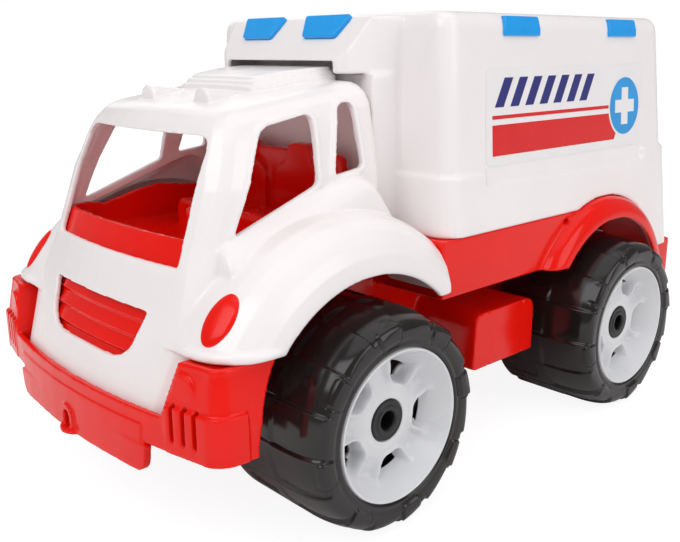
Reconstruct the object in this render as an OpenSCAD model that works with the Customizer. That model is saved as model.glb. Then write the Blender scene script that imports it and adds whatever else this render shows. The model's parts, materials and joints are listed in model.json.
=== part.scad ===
// Toy ambulance: hollow moulded shells on a long chassis with four big free-turning wheels.
// The front points to -Y, +X is the vehicle's left side, and the ground is at z = 0.

/* [Overall] */
// Distance between the front and the rear axle
wheelbase = 194; // [190:1:206]
// Half of the width over the outer faces of the wheels
half_track = 118; // [116:1:124]
// Front axle to the foremost point, the towing lip
front_overhang = 97; // [96:0.5:100]
// Rear axle to the rearmost point, the tail
rear_overhang = 97; // [93:0.5:102]
// Wall of the moulded shells
wall = 2.5; // [2:0.1:3]
// Gap between pieces that sit in each other
seat_gap = 0.3; // [0.2:0.05:0.4]
// Radial running clearance at an axle or hinge pin
run_gap = 0.05; // [0.02:0.01:0.09]
// Radial clearance of pushed-on pieces
push_gap = 0.02; // [0.01:0.01:0.05]

/* [Wheels] */
// Radius of the tyre
tyre_r = 50; // [47:0.5:52]
// Gap between the frame and a tyre
wheel_gap = 8; // [6:0.5:10]
// Skin of the hollow tyre
tyre_skin = 3; // [2.5:0.1:4]
// Width of the tyre's rounded outer shoulder
shoulder_w = 15; // [10:0.5:18]
// Radial drop of the tyre's shoulder
shoulder_drop = 5.5; // [3:0.5:6]
// Number of tread lugs round the tyre
lug_count = 16; // [12:2:20]
// Depth of the tread pattern
tread_depth = 0.9; // [0.5:0.1:1.2]
// Radius of the rim's lip
rim_r = 34.5; // [33:0.5:36]
// Depth of the rim's dish below its lip
dish_depth = 16; // [13:0.5:18]
// Number of spokes
spoke_count = 5; // [4:1:6]
// Radius of the rim's hub
hub_r = 13; // [12.5:0.5:15]
// Depth of the hub's face below the rim's lip
hub_depth = 9; // [7:0.5:11]
// Radius of the tubular axle
axle_r = 6.5; // [5.5:0.1:7]
// Radius of the axle's hollow
axle_bore_r = 4.2; // [3.5:0.1:4.5]
// Radius of the axle cap
cap_r = 9.5; // [8.5:0.1:10.5]
// Length of the axle cap
cap_l = 8; // [7:0.5:10]

/* [Cab] */
// Front axle to the cab's chin
nose_reach = 91; // [88:0.5:92]
// Height of the chin's lower edge
chin_z = 63; // [60:0.5:66]
// Half width of the chin
chin_half_w = 68; // [65:1:70]
// Lean of the cab's front from the vertical
front_rake = 19.8; // [17:0.2:22]
// Forward bulge of the cab's front at the middle
front_bulge = 6; // [5.5:0.5:7]
// Half width of the cab at its belt
cab_half_w = 67; // [64:1:70]
// Half width of the roof
roof_half_w = 57; // [54:1:60]
// Front axle to the cab's rear wall
cab_back = 42; // [40:0.5:46]
// Height of the roof at its rear
roof_z = 193.5; // [191:0.5:194]
// Fall of the roof from its rear to the windscreen
roof_fall = 11; // [9:0.5:13]
// Fall of the roof towards its sides
roof_crown = 2; // [1:0.5:3]
// Rise of the raised panel over the roof
roof_panel_t = 6; // [4:0.5:6.5]
// Rounding of the roof's edge
roof_edge_r = 10; // [7:0.5:12]
// Radius of the front wing's crest round the axle
wing_r = 88; // [85:0.5:90]
// Half width over the front wings
wing_half_w = 101; // [98:0.5:104]
// Radius of the front wheel arch
arch_r = 63; // [60:0.5:65]
// Height of the wing's lower edge in front of the wheel
wing_front_z = 90; // [87:0.5:93]
// Height of the wing's lower edge behind the wheel
wing_rear_z = 95; // [92:0.5:98]
// Front axle to the wing's rear edge
wing_back = 52; // [50:0.5:53]
// Half width over the rounded shoulders below the windows
waist_half_w = 77; // [75:0.5:80]
// Height of the belt line at the windscreen
belt_z = 129; // [126:0.5:131]

/* [Bumper] */
// Radius of the bumper's corner in plan
pod_r = 12; // [9:0.5:15]
// Backward sweep of the bumper from its middle to its corner
bumper_sweep = 10.5; // [8:0.5:12]
// Backward lean of the bumper's corners up to the wings
pod_lean = 5; // [3:0.5:6]
// Height of the bumper's lower edge
bumper_z = 52; // [50:0.5:55]
// Height of the beam under the chin
beam_top_z = 66; // [65:0.5:69]
// Height of the valance's lower edge
valance_z = 38.5; // [36:0.5:41]
// Half width of the valance
valance_half_w = 55; // [50:1:58]
// Height of the raised corner pads
pad_top_z = 72; // [70:0.5:75]
// Radius of the towing lip
tow_r = 7; // [6:0.5:8]
// Width of the towing slot
tow_slot_w = 5; // [4.6:0.1:6]

/* [Chassis] */
// Half width of the frame between the wheels
frame_half_w = 48; // [44:0.5:50]
// Height of the frame's lower edge
frame_z = 62; // [58:0.5:64]
// Height of the deck that the box stands on
deck_z = 118; // [116:0.5:121]
// Thickness of the deck
deck_t = 3; // [2.5:0.1:4]
// Height of the sill's lower edge
sill_z = 89.5; // [86:0.5:92]
// Inner radius of the rear wheel arch
rear_arch_r = 59; // [57:0.5:60]
// Outer radius of the rear wheel arch
rear_wing_r = 71; // [70:0.5:74]
// Height of the rear arch's centre above the axle
rear_arch_lift = 2; // [1:0.5:5]
// Half width over the rear wheel arches
rear_wing_half_w = 103; // [101:0.5:106]
// Front axle to the side locker's front end
locker_front = 83; // [80:1:86]
// Length of the side locker
locker_l = 54; // [46:1:56]
// Half width over the side lockers
locker_half_w = 90; // [86:1:92]
// Height of the side locker's lower edge
locker_z = 44; // [40:0.5:48]
// Height of the side locker's top
locker_top_z = 74; // [70:0.5:78]
// Half width of the tail
tail_half_w = 91; // [88:0.5:93]
// Length of the tail
tail_l = 26; // [22:1:28]
// Height of the tail's lower edge
tail_z = 47; // [44:0.5:50]
// Height of the tail's top
tail_top_z = 83; // [80:0.5:84]

/* [Box] */
// Front axle to the box's front
box_front = 56; // [54.5:0.5:58]
// Rear axle to the box's rear at the ledge
box_rear = 75; // [70:0.5:77]
// Half width of the box at the deck
box_half_w = 95; // [93:0.5:97]
// Inward lean of the box's sides for each millimetre of height
side_draft = 0.06; // [0.03:0.005:0.07]
// Forward lean of the box's rear for each millimetre of height
rear_draft = 0.13; // [0.06:0.01:0.15]
// Height of the box's roof
box_top_z = 222.5; // [220:0.5:225]
// Height of the ledge along the box
ledge_z = 147; // [144:0.5:150]
// Depth of the ledge
ledge_t = 2; // [1.5:0.1:2.5]
// Corner radius of the box in plan
box_corner_r = 11; // [8:0.5:13]
// Rounding of the box's roof edge
box_edge_r = 7; // [5:0.5:9]
// Drop of the ledge under the label
label_dip = 6; // [4:0.5:8]
// Half width of the neck towards the cab
neck_half_w = 60; // [57:0.5:62]
// Length of the label
label_l = 152; // [140:1:156]
// Height of the box's roof above the label
label_drop = 26; // [24:0.5:32]
// Thickness of the label
label_t = 0.4; // [0.3:0.05:0.6]

/* [Lamps] */
// Height of the fairing's lower edge at the sides
fairing_z = 194.5; // [194:0.5:197]
// Height of the fairing's top
fairing_top_z = 221; // [219:0.5:222]
// Front axle to the fairing's front edge
fairing_front = 30; // [28:0.5:34]
// Half width of the fairing's front
fairing_half_w = 44; // [43:0.5:46]
// Lean of the fairing's lamp face from the vertical
fairing_lean = 36; // [32:1:38]
// Thickness of the beacons
beacon_t = 3; // [2.5:0.1:4]
// Length of a side lamp
side_lamp_l = 30; // [26:1:32]
// Height of a side lamp down the box's side
side_lamp_h = 11; // [9:0.5:14]
// Thickness of a side lamp
side_lamp_t = 1.5; // [1.2:0.1:2]

/* [Rear door] */
// Half width of the rear door
door_half_w = 70; // [64:1:74]
// Height of the door's lower edge
door_z = 126; // [124:0.5:130]
// Thickness of the door
door_t = 3; // [2.5:0.1:3.5]
// Height of the hinge axis below the box's roof
hinge_drop = 4; // [3.5:0.1:5]
// Radius of the hinge barrels
barrel_r = 4.4; // [4:0.1:5]
// Radius of the hinge pin
pin_r = 1.8; // [1.5:0.1:2.2]

/* [Hidden] */
$fn = 64;
red = "#DF2118";
white = "#EFECEC";
rim_white = "#DFE1E5";
blue = "#2AA9F2";
black = "#2A2829";
eps = 0.01;
far = 400;
front_axle_y = front_overhang - (front_overhang + wheelbase + rear_overhang) / 2;
rear_axle_y = front_axle_y + wheelbase;
axle_z = tyre_r;
tyre_w = half_track - frame_half_w - wheel_gap;
tyre_in = half_track - tyre_w;
hub_face = half_track - hub_depth;
cap_out = hub_face + 1;
cap_in = cap_out - cap_l;
axle_end = cap_out - 3;
hub_in = frame_half_w + seat_gap;
rear_x = wheelbase;
locker_back = locker_front + locker_l;
tail_back = wheelbase + rear_overhang;
rear_arch_z = axle_z + rear_arch_lift;
box_back = wheelbase + box_rear;
label_front = box_front + 29;
label_z = ledge_z + 3;
label_h = box_top_z - label_drop - label_z;
neck_front = cab_back + 1;
tub_floor_z = axle_z + arch_r;
tub_floor_t = 2.5;
tub_t = 2.2;
front_deck_z = tub_floor_z;
screw_r = 1.6;
screw_head_r = 3.2;
screw_head_t = 2;
screw_l = 10;
box_post_r = 5;
box_screws = [[62, 74], [62, box_front + 70]];
tub_screws = [[26, 20]];
bumper_screws = [[30, -70]];
lug_t = 3;
door_top_z = box_top_z - hinge_drop - barrel_r - 1.5;
hinge_z = box_top_z - hinge_drop;
hinge_y = box_rear_at(hinge_z) + barrel_r + seat_gap;
barrel_l = 24;
barrel_x = 36;
beacon_in = 10;
beacon_w = 29;
beacon_h = 12.5;
beacon_low = 13;
side_lamp_in = 1.5;
roof_over = 0.2;
grille_half_w = 42;
grille_top_z = 100.5;
grille_low_z = 74;
lamp_angle = 140;
lamp_x = 79;
lamp_half_w = 8.3;
lamp_half_h = 13;
roof_back = 40;
roof_run = 78;
bead_w = 2.2;
bead_t = 0.8;
marker_x = 23;
marker_y = -31;
marker_r = 6.5;
belt_rise = [[-56, 0], [-47, 2.8], [-1, 19.3], [10, 22.2], [27, 25.5], [46, 27]];
rail_front = -62;
rear_panel_z = 157.5;
rear_panel_half_w = 52;
seat_half_w = 19;
seat_z = 130;
seat_front = -6;
seat_back = 24;
headrest_z = 161;
lug_top_z = chin_z - seat_gap;
foot_t = 8;
bumper_step = 3.5;
bumper_t = 3;
pad_start = 72.5;
pad_end = -68;
pad_slots = [74.5, 80.7, 87];
pad_slot_w = 2.2;
arch_pad_x = 80;
arch_pad_r = 5.5;
cut_in = 0.4;

// Points of an arc, ends included
function arc(x, y, r, a0, a1, n) = [for (i = [0:n])
    let (a = a0 + (a1 - a0) * i / n) [x + r * cos(a), y + r * sin(a)]];

// Rounds the corners of an outline, each by its own reach along the sides
function soften(pts, reach) = let (n = len(pts)) [
    for (i = [0:n - 1])
        let (p = pts[i], a = pts[(i + n - 1) % n], b = pts[(i + 1) % n],
            r = is_list(reach) ? reach[i] : reach)
        let (u = (a - p) / norm(a - p), w = (b - p) / norm(b - p))
        for (t = [0:0.25:1]) (1 - t) * (1 - t) * (p + r * u) + 2 * t * (1 - t) * p + t * t * (p + r * w)];

// Rectangle with its corners rounded, front edge bulging forward
bulge_steps = 6;
corner_steps = 4;
function bulged_plan(half_w, front, back, r_front, r_back, bulge) =
    let (k = bulge / pow(half_w, 2), xf = half_w - r_front, yf = front + k * xf * xf + r_front)
    concat(
        [for (i = [0:bulge_steps]) let (x = xf * (2 * i / bulge_steps - 1)) [x, front + k * x * x]],
        [for (i = [1:corner_steps]) let (a = 90 * i / corner_steps - 90) [xf + r_front * cos(a),
            yf + r_front * sin(a)]],
        arc(half_w - r_back, back - r_back, r_back, 0, 90, corner_steps),
        arc(r_back - half_w, back - r_back, r_back, 90, 180, corner_steps),
        [for (i = [0:corner_steps - 1]) let (a = 180 + 90 * i / corner_steps) [r_front * cos(a) - xf,
            yf + r_front * sin(a)]]);

// Skins a stack of rings with the same number of points, closed by a fan at both ends
function centre_of(ring) = [for (k = [0:2]) ([for (p = ring) p[k]] * [for (p = ring) 1]) / len(ring)];
module skin(rings) {
    n = len(rings[0]);
    m = len(rings);
    polyhedron(
        concat([for (ring = rings) each ring], [centre_of(rings[0]), centre_of(rings[m - 1])]),
        concat([for (i = [0:n - 1]) [m * n, i, (i + 1) % n]],
            [for (j = [0:m - 2]) for (i = [0:n - 1]) [j * n + i, (j + 1) * n + i,
                (j + 1) * n + (i + 1) % n]],
            [for (j = [0:m - 2]) for (i = [0:n - 1]) [j * n + i, (j + 1) * n + (i + 1) % n,
                j * n + (i + 1) % n]],
            [for (i = [0:n - 1]) [m * n + 1, (m - 1) * n + (i + 1) % n, (m - 1) * n + i]]),
        convexity = 6);
}

// Copies the children to the other side as well
module both_sides() {
    children();
    mirror([1, 0, 0]) children();
}

// Extrudes a front-view outline of x and z points from one y to another
module along_y(y0, y1, pts) {
    translate([0, y1, 0]) rotate([90, 0, 0]) linear_extrude(y1 - y0) polygon(pts);
}

// Extrudes a side-view outline of y and z points from one x to another
module along_x(x0, x1, pts) {
    translate([x0, 0, 0]) rotate([90, 0, 90]) linear_extrude(x1 - x0) polygon(pts);
}

// A rod along x between two places
module rod_x(x0, x1, y, z, r) {
    translate([x0, y, z]) rotate([0, 90, 0]) cylinder(h = x1 - x0, r = r);
}

// Turns a profile of radius and x points about the axle line at y and z
module turned_x(y, z, pts) {
    translate([0, y, z]) rotate([0, 90, 0]) rotate_extrude() polygon(pts);
}

// Everything below is drawn with y measured from the front axle and moved into place by this
module from_front_axle() {
    translate([0, front_axle_y, 0]) children();
}

// Cab: lines that the shell, the tub and the inserts share
function cab_front_at(z) = (z - chin_z) * tan(front_rake) - nose_reach;
function cab_half_at(z) = lookup(z, [[chin_z, chin_half_w], [wing_front_z, cab_half_w + 6],
    [belt_z, cab_half_w], [belt_z + 22, cab_half_w - 1], [roof_z - 4, roof_half_w]]);
function roof_at(x, y) = roof_z - roof_fall * pow(max(roof_back - y, 0) / roof_run, 1.3)
    - roof_crown * pow(x / roof_half_w, 2);
function belt_at(y) = belt_z + lookup(y, belt_rise);

function cab_ring(z, inset) = [for (p = bulged_plan(cab_half_at(z) - inset,
    cab_front_at(z) + inset * 1.06,
    cab_back - inset, 14 - inset, 9 - inset, front_bulge)) [p.x, p.y, z]];
function cab_roof_ring(drop, shrink, inset) =
    let (z = roof_z - 8 - drop, s = shrink + inset)
    [for (p = bulged_plan(cab_half_at(z) - s, cab_front_at(roof_z - roof_fall - drop) + s, cab_back - s,
        max(14 - s, 2), max(9 - s, 2), front_bulge)) [p.x, p.y, roof_at(p.x, p.y) - drop - inset]];
function edge_shrink(drop, r) = r - sqrt(r * r - pow(r - drop, 2));

// The cab's main form, sunk inwards by an inset
module cab_form(inset, low_z) {
    skin(concat(
        [for (z = [low_z, wing_front_z, belt_z, belt_z + 22]) cab_ring(z, inset)],
        [for (f = [1, 0.5, 0.2, 0.05, 0]) cab_roof_ring(f * roof_edge_r,
            edge_shrink(f * roof_edge_r, roof_edge_r), inset)],
        [cab_roof_ring(0, roof_edge_r + 12, inset), cab_roof_ring(0, roof_edge_r + 28, inset)]));
}

// Rounded shoulders below the windows
waist_steps = 4;
waist_round = 14;
function waist_outline(drop, inset) = soften([[46 - inset, wing_rear_z - 8],
    [39 - inset, belt_at(24) - 20 - drop - inset],
    [24 - inset, belt_at(24) - drop - inset], [-56 + inset, belt_at(-56) - drop - inset],
    [-56 + inset, wing_rear_z - 8]], [1, 6, 10, 4, 2]);
module waist_form(inset) {
    angles = [for (i = [-waist_steps:waist_steps]) 90 * i / waist_steps];
    skin([for (a = angles)
        let (x = sign(a) * (waist_half_w - waist_round) + waist_round * sin(a) - sign(a) * inset)
        [for (p = waist_outline(0.8 * waist_round * (1 - cos(a)), inset)) [x, p.x, p.y]]]);
}

// Drum of both front wings, cut off above their lower edges
function wing_profile(inset) = concat([[0, -wing_half_w + inset]],
    [for (i = [0:6]) [wing_r - 22 + 22 * sin(15 * i) - inset * sin(15 * i),
        -wing_half_w + inset + 26 * (1 - cos(15 * i))]],
    [for (i = [6:-1:0]) [wing_r - 22 + 22 * sin(15 * i) - inset * sin(15 * i),
        wing_half_w - inset - 26 * (1 - cos(15 * i))]],
    [[0, wing_half_w - inset]]);
module wing_form(inset, low_extra) {
    intersection() {
        turned_x(0, axle_z, wing_profile(inset));
        along_x(-far, far, [[-far, wing_front_z - low_extra], [0, wing_front_z - low_extra],
            [0, wing_rear_z - low_extra],
            [wing_back - inset, wing_rear_z - low_extra], [wing_back - inset, far], [-far, far]]);
    }
}

module headlamp_prism(grow, r0, r1) {
    translate([lamp_x, 0, axle_z]) rotate([lamp_angle, 0, 0]) rotate([-90, 0, 0]) translate([0, 0, r0])
        linear_extrude(r1 - r0) rotate(-14)
        polygon([for (i = [0:31]) let (a = 360 * i / 32) [(lamp_half_w + grow) * cos(a),
            (lamp_half_h + grow) * sin(a)]]);
}

side_window = soften([[-47.3, belt_at(-47.3)], [-27, 174], [1.6, 179], [-0.8, belt_at(-0.8)]],
    [2, 5, 5, 2]);
quarter_window = soften([[9.8, belt_at(9.8)], [17, 182], [26, 183], [27.3, belt_at(27.3) - 1]],
    [2, 4, 4, 2]);
windscreen = [[-51, 122.5], [51, 122.5], [48.5, 171.5], [-48.5, 171.5]];
grille = [[-33, grille_low_z], [33, grille_low_z], [grille_half_w, grille_top_z],
    [-grille_half_w, grille_top_z]];

module cab_shell() color(white) from_front_axle() difference() {
    union() {
        cab_form(0, chin_z);
        waist_form(0);
        wing_form(0, 0);
        roof_trim();
        window_bead(side_window);
        window_bead(quarter_window);
    }
    cab_form(wall, chin_z - 8);
    waist_form(wall);
    wing_form(wall, 10);
    translate([-far / 2, cab_front_at(chin_z) + 22, 0]) cube([far, far / 2, wing_front_z]);
    both_sides() {
        rod_x(frame_half_w + 2, far / 2, 0, axle_z, arch_r);
        headlamp_prism(seat_gap, wing_r - 22, wing_r + 6);
    }
    // Room for the box's neck and for the chassis plate
    translate([-neck_half_w - 1, cab_back - cut_in, 0]) cube([2 * neck_half_w + 2, far, far]);
    translate([-frame_half_w - seat_gap, cab_back - 12, 0])
        cube([2 * (frame_half_w + seat_gap), 24, front_deck_z + seat_gap]);
    along_x(-far / 2, far / 2, side_window);
    along_x(-far / 2, far / 2, quarter_window);
    along_y(-far / 2, -20, soften(windscreen, [2, 2, 5, 5]));
    along_y(-far / 2, -50, soften(grille, [9, 9, 1, 1]));
}

// Raised bead round a side window
module window_bead(pts) {
    intersection() {
        cab_form(-bead_t, chin_z);
        translate([-far / 2, 0, 0]) rotate([90, 0, 90]) linear_extrude(far) offset(r = bead_w)
            polygon(pts);
    }
}

// Raised panel and the two marker bumps of the cab's roof
module roof_panel(grow, rise) {
    front = grow - 8;
    intersection() {
        cab_form(-rise, chin_z);
        translate([0, 0, roof_z - roof_fall]) linear_extrude(far)
            polygon(soften([[grow - 31, front], [31 - grow, front], [39 - grow, roof_back - 2],
                [grow - 39, roof_back - 2]], 5));
    }
}
module roof_trim() {
    for (f = [0, 0.5, 1]) roof_panel(4 * f, roof_panel_t * (0.4 + 0.6 * f));
    both_sides() translate([marker_x, marker_y, roof_at(marker_x, marker_y)]) rotate([-90, 0, 0])
        cylinder(h = 18, r1 = marker_r, r2 = marker_r - 2);
}

// Red inner moulding: floor, dash, side walls following the belt, two seats and the steering post
tub_gap = wall + seat_gap;
dash_top_z = 130;
module tub_space(inset) {
    intersection() {
        cab_form(inset, chin_z);
        along_x(-far / 2, far / 2, [[-far, tub_floor_z], [far, tub_floor_z],
            [far, dash_top_z + 2], [20, dash_top_z + 2.5], [-5, dash_top_z + 5.5], [-20, dash_top_z + 3],
            [-37, dash_top_z - 1.5], [-46, dash_top_z], [-far, dash_top_z]]);
    }
}
module seat(x) {
    w = seat_half_w;
    translate([x, 0, 0]) {
        along_x(-w, w, soften([[seat_front, tub_floor_z], [seat_front, seat_z],
            [seat_back - 2, seat_z - 3], [seat_back, tub_floor_z]], [1, 4, 3, 1]));
        along_y(seat_back, seat_back + 7, soften([[-w, tub_floor_z], [-w, headrest_z - 14],
            [-w / 2, headrest_z - 9], [-w / 2 + 1, headrest_z], [w / 2 - 1, headrest_z],
            [w / 2, headrest_z - 9], [w, headrest_z - 14], [w, tub_floor_z]], [1, 5, 3, 4, 4, 3, 5, 1]));
    }
}
module seat_tub() color(red) from_front_axle() difference() {
    union() {
        difference() {
            tub_space(tub_gap);
            difference() {
                cab_form(tub_gap + tub_t, chin_z);
                translate([-far / 2, -far / 2, 0]) cube([far, far, tub_floor_z + tub_floor_t]);
                along_x(-far, far, [[-far, 0], [-46, 0], [-46, dash_top_z - 6], [-far, dash_top_z - 2]]);
            }
        }
        both_sides() seat(23);
        translate([24, -36, tub_floor_z]) cylinder(h = 24, r = 5.5);
        along_y(seat_back + 3, seat_back + 7, soften([[-rear_panel_half_w, tub_floor_z],
            [rear_panel_half_w, tub_floor_z], [rear_panel_half_w, rear_panel_z],
            [-rear_panel_half_w, rear_panel_z]], [1, 1, 6, 6]));
    }
    translate([24, -36, tub_floor_z + 12]) cylinder(h = 13, r = 3.5);
    both_sides() for (p = tub_screws) translate([p.x, p.y, tub_floor_z - eps])
        cylinder(h = screw_l - deck_t, r = screw_r);
}

module grille_insert() color(red) from_front_axle() {
    difference() {
        intersection() {
            cab_form(tub_gap, chin_z);
            along_y(-far, -40, [[-grille_half_w - 5, grille_low_z - 5],
                [grille_half_w + 5, grille_low_z - 5],
                [grille_half_w + 5, grille_top_z + 4.5], [-grille_half_w - 5, grille_top_z + 4.5]]);
        }
        cab_form(tub_gap + tub_t, chin_z - 8);
    }
    intersection() {
        difference() {
            cab_form(0.8, chin_z);
            cab_form(tub_gap + tub_t / 2, chin_z - 8);
        }
        difference() {
            along_y(-far, -40, soften([[-32.5, grille_low_z + seat_gap], [32.5, grille_low_z + seat_gap],
                [grille_half_w - 0.5, grille_top_z - seat_gap],
                    [seat_gap + 0.2 - grille_half_w, grille_top_z - seat_gap]],
                [9, 9, 1, 1]));
            for (z = [81.5, 90.5]) along_y(-far, -40, [[-60, z], [60, z], [60, z + 3.2], [-60, z + 3.2]]);
        }
    }
}

module headlamp() color(red) from_front_axle() intersection() {
    headlamp_prism(0, wing_r - 20, wing_r + 4);
    difference() {
        turned_x(0, axle_z, wing_profile(-0.9));
        turned_x(0, axle_z, wing_profile(wall + 2));
    }
}
module headlamp_left() headlamp();
module headlamp_right() mirror([1, 0, 0]) headlamp();

// Bumper: half plan from the middle to the arch, moved outwards by a step
function bumper_half(out) = let (xc = wing_half_w - pod_r, front = -nose_reach - bumper_step,
    yc = front + bumper_sweep + pod_r * sin(76))
    concat([for (i = [0:6]) let (x = xc * i / 6) [x, front - out + bumper_sweep * pow(x / xc, 2)]],
        [for (i = [1:6]) let (a = 76 * i / 6 - 76) [xc + (pod_r + out) * cos(a),
            yc + (pod_r + out) * sin(a)]],
        [[wing_half_w + out, -30]]);
function bumper_ring(z, out) = let (half = bumper_half(out
    - pod_lean * max(z - beam_top_z, 0) / (wing_front_z - beam_top_z)), n = len(half))
    concat([for (i = [n - 1:-1:1]) [-half[i].x, half[i].y, z]], [for (p = half) [p.x, p.y, z]]);
module bumper_slab(z0, z1, out) {
    translate([0, 0, z0]) linear_extrude(z1 - z0) polygon([for (p = bumper_ring(0, out)) [p.x, p.y]]);
}
module front_bumper() color(red) from_front_axle() {
    chin_edge = [[-far, -far], [far, -far], [far, far], [cab_half_w + 10, wing_front_z + 2],
        [chin_half_w + 2, beam_top_z], [-chin_half_w - 2, beam_top_z],
        [-cab_half_w - 10, wing_front_z + 2], [-far, far]];
    difference() {
        intersection() {
            union() {
                skin([for (z = [bumper_z, beam_top_z, wing_front_z - seat_gap]) bumper_ring(z, 0)]);
                intersection() {
                    bumper_slab(valance_z, bumper_z + 8, 0.6);
                    along_y(-far, 0, soften([[-valance_half_w, valance_z], [valance_half_w, valance_z],
                        [valance_half_w + 3, bumper_z + 8], [-valance_half_w - 3, bumper_z + 8]],
                            [6, 6, 1, 1]));
                }
                both_sides() corner_pad();
                tow_arch(tow_slot_w / 2 + 3, valance_z, front_overhang - 0.8);
            }
            along_y(-far, 0, chin_edge);
        }
        skin([for (z = [valance_z - 1, beam_top_z, wing_front_z + 1]) bumper_ring(z, -bumper_t)]);
        both_sides() {
            rod_x(chin_half_w - 14, far, 0, axle_z, arch_r);
            for (x = pad_slots) along_y(-far, 1 - nose_reach + bumper_sweep,
                soften([[x, bumper_z + 5], [x + pad_slot_w, bumper_z + 5],
                [x + pad_slot_w, pad_top_z + 1], [x, pad_top_z + 1]], 1));
        }
        tow_arch(tow_slot_w / 2, valance_z + 2.5, far);
    }
    tow_lip();
    bumper_lugs();
}
// Upright raised pad round the corner, with a half-round pad above it
module corner_pad() {
    intersection() {
        bumper_slab(bumper_z, pad_top_z, 0.4);
        translate([pad_start, -far / 2, 0]) cube([far, far / 2 + pad_end, far]);
    }
    intersection() {
        bumper_slab(pad_top_z - 1, wing_front_z, -2);
        along_y(-far, 0, concat([[arch_pad_x - arch_pad_r, pad_top_z - 1],
            [arch_pad_x + arch_pad_r, pad_top_z - 1]],
            arc(arch_pad_x, pad_top_z + 8, arch_pad_r, 0, 180, 8)));
    }
}
// Outline of the towing slot as a block behind a given front
module tow_arch(r, low, front) {
    along_y(-front, -60, concat([[-r, low], [r, low]], arc(0, valance_z + 8, r, 0, 180, 8)));
}
module tow_lip() {
    back = -nose_reach - bumper_step + 0.5;
    intersection() {
        translate([0, tow_r - front_overhang, valance_z]) cylinder(h = 2.5, r = tow_r);
        translate([-far / 2, -far, 0]) cube([far, far + back + wall, far]);
    }
}
module bumper_lugs() {
    both_sides() difference() {
        translate([22, -nose_reach - 1, lug_top_z - lug_t]) cube([16, nose_reach - 63, lug_t]);
        for (p = bumper_screws) translate([p.x, p.y, 0]) cylinder(h = far, r = screw_r + 0.2);
    }
}

// Chassis
rear_wing_in = frame_half_w + 14;
function rear_wing_curve(inset, i) = [rear_wing_r - inset - 10.5 * (1 - sin(18 * i)),
    rear_wing_half_w - inset - 9 * (1 - cos(18 * i))];
function rear_wing_profile() = concat([[rear_wing_r, rear_wing_in], [rear_wing_r - wall, rear_wing_in]],
    [for (i = [5:-1:0]) rear_wing_curve(wall, i)], [[rear_arch_r - 1, rear_wing_half_w - wall],
    [rear_arch_r - 1, rear_wing_half_w]], [for (i = [0:5]) rear_wing_curve(0, i)]);
module rear_wing() {
    intersection() {
        turned_x(rear_x, rear_arch_z, rear_wing_profile());
        along_x(0, far, [[0, sill_z], [rear_x, sill_z], [rear_x, tail_top_z - 10], [far, tail_top_z - 10],
            [far, far], [0, far]]);
    }
}
module locker() {
    difference() {
        along_x(frame_half_w - 3, locker_half_w, soften([[locker_front + 2, locker_top_z],
            [locker_back - 2, locker_top_z],
            [locker_back, locker_z], [locker_front, locker_z]], [6, 6, 2, 2]));
        along_x(frame_half_w, locker_half_w - wall,
            soften([[locker_front + wall + 2, locker_top_z - wall],
            [locker_back - wall - 2, locker_top_z - wall], [locker_back - wall, 0],
                [locker_front + wall, 0]], [4, 4, 1, 1]));
        for (y = [locker_front + 12, locker_back - 13]) difference() {
            translate([0, y, 0]) cube([far, 1.2, far]);
            along_x(0, locker_half_w - 0.8, soften([[locker_front + 2.8, locker_top_z - 0.8],
                [locker_back - 2.8, locker_top_z - 0.8],
                [locker_back - 0.8, 0], [locker_front + 0.8, 0]], [6, 6, 2, 2]));
        }
    }
}
module axle_block(y) {
    both_sides() difference() {
        translate([frame_half_w - 12, y - 12, axle_z - 14]) cube([12, 24, frame_z + 4 - axle_z + 14]);
        rod_x(0, far, y, axle_z, axle_r + push_gap);
    }
}
module chassis() color(red) from_front_axle() {
    plate_z = front_deck_z - deck_t;
    plate_front = cab_front_at(front_deck_z) + front_bulge + wall - 0.5;
    rail_back = tail_back - tail_l;
    box_in = box_half_w - wall - 1;
    deck_front = wing_back + seat_gap;
    difference() {
        union() {
            // Front plate under the seat tub, with its rails
            translate([-frame_half_w, plate_front, plate_z])
                cube([2 * frame_half_w, wing_back + 3 - plate_front, deck_t]);
            both_sides() {
                translate([frame_half_w - deck_t, rail_front, frame_z])
                    cube([deck_t, deck_front + 1 - rail_front, plate_z - frame_z + eps]);
                translate([frame_half_w - deck_t, deck_front, frame_z])
                    cube([deck_t, rail_back - deck_front + eps, deck_z - deck_t - frame_z + eps]);
            }
            // Front cross wall with two feet on the bumper's lugs, and the step up to the deck
            translate([-frame_half_w, rail_front - deck_t + 0.5, lug_top_z])
                cube([2 * frame_half_w, deck_t, plate_z - lug_top_z + eps]);
            both_sides() translate([22, rail_front - 16, lug_top_z]) cube([16, 16, foot_t]);
            translate([-frame_half_w, deck_front, plate_z])
                cube([2 * frame_half_w, deck_t, deck_z - deck_t - plate_z + eps]);
            // Deck and sills
            translate([-box_half_w + 1, wing_back + seat_gap, deck_z - deck_t])
                cube([2 * box_half_w - 2, rear_x - wing_back, deck_t]);
            translate([-box_in, rear_x - 1, deck_z - deck_t])
                cube([2 * box_in, box_rear - wall - 6, deck_t]);
            both_sides() {
                translate([box_half_w - 1 - deck_t, wing_back + seat_gap, sill_z])
                    cube([deck_t, rear_x - wing_back - 40, deck_z - sill_z]);
                translate([frame_half_w - 1, wing_back + seat_gap, sill_z])
                    cube([box_half_w - frame_half_w - 2, deck_t, deck_z - sill_z]);
                rear_wing();
                locker();
            }
            tail();
        }
        both_sides() {
            rod_x(frame_half_w + 4, rear_wing_half_w + 5, rear_x, rear_arch_z, rear_arch_r);
            for (p = box_screws) screw_hole(p, deck_z);
            for (p = tub_screws) screw_hole(p, front_deck_z);
            for (p = bumper_screws) translate([p.x, p.y, lug_top_z - eps])
                cylinder(h = screw_l - deck_t, r = screw_r);
        }
    }
    for (y = [0, rear_x]) axle_block(y);
}
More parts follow.
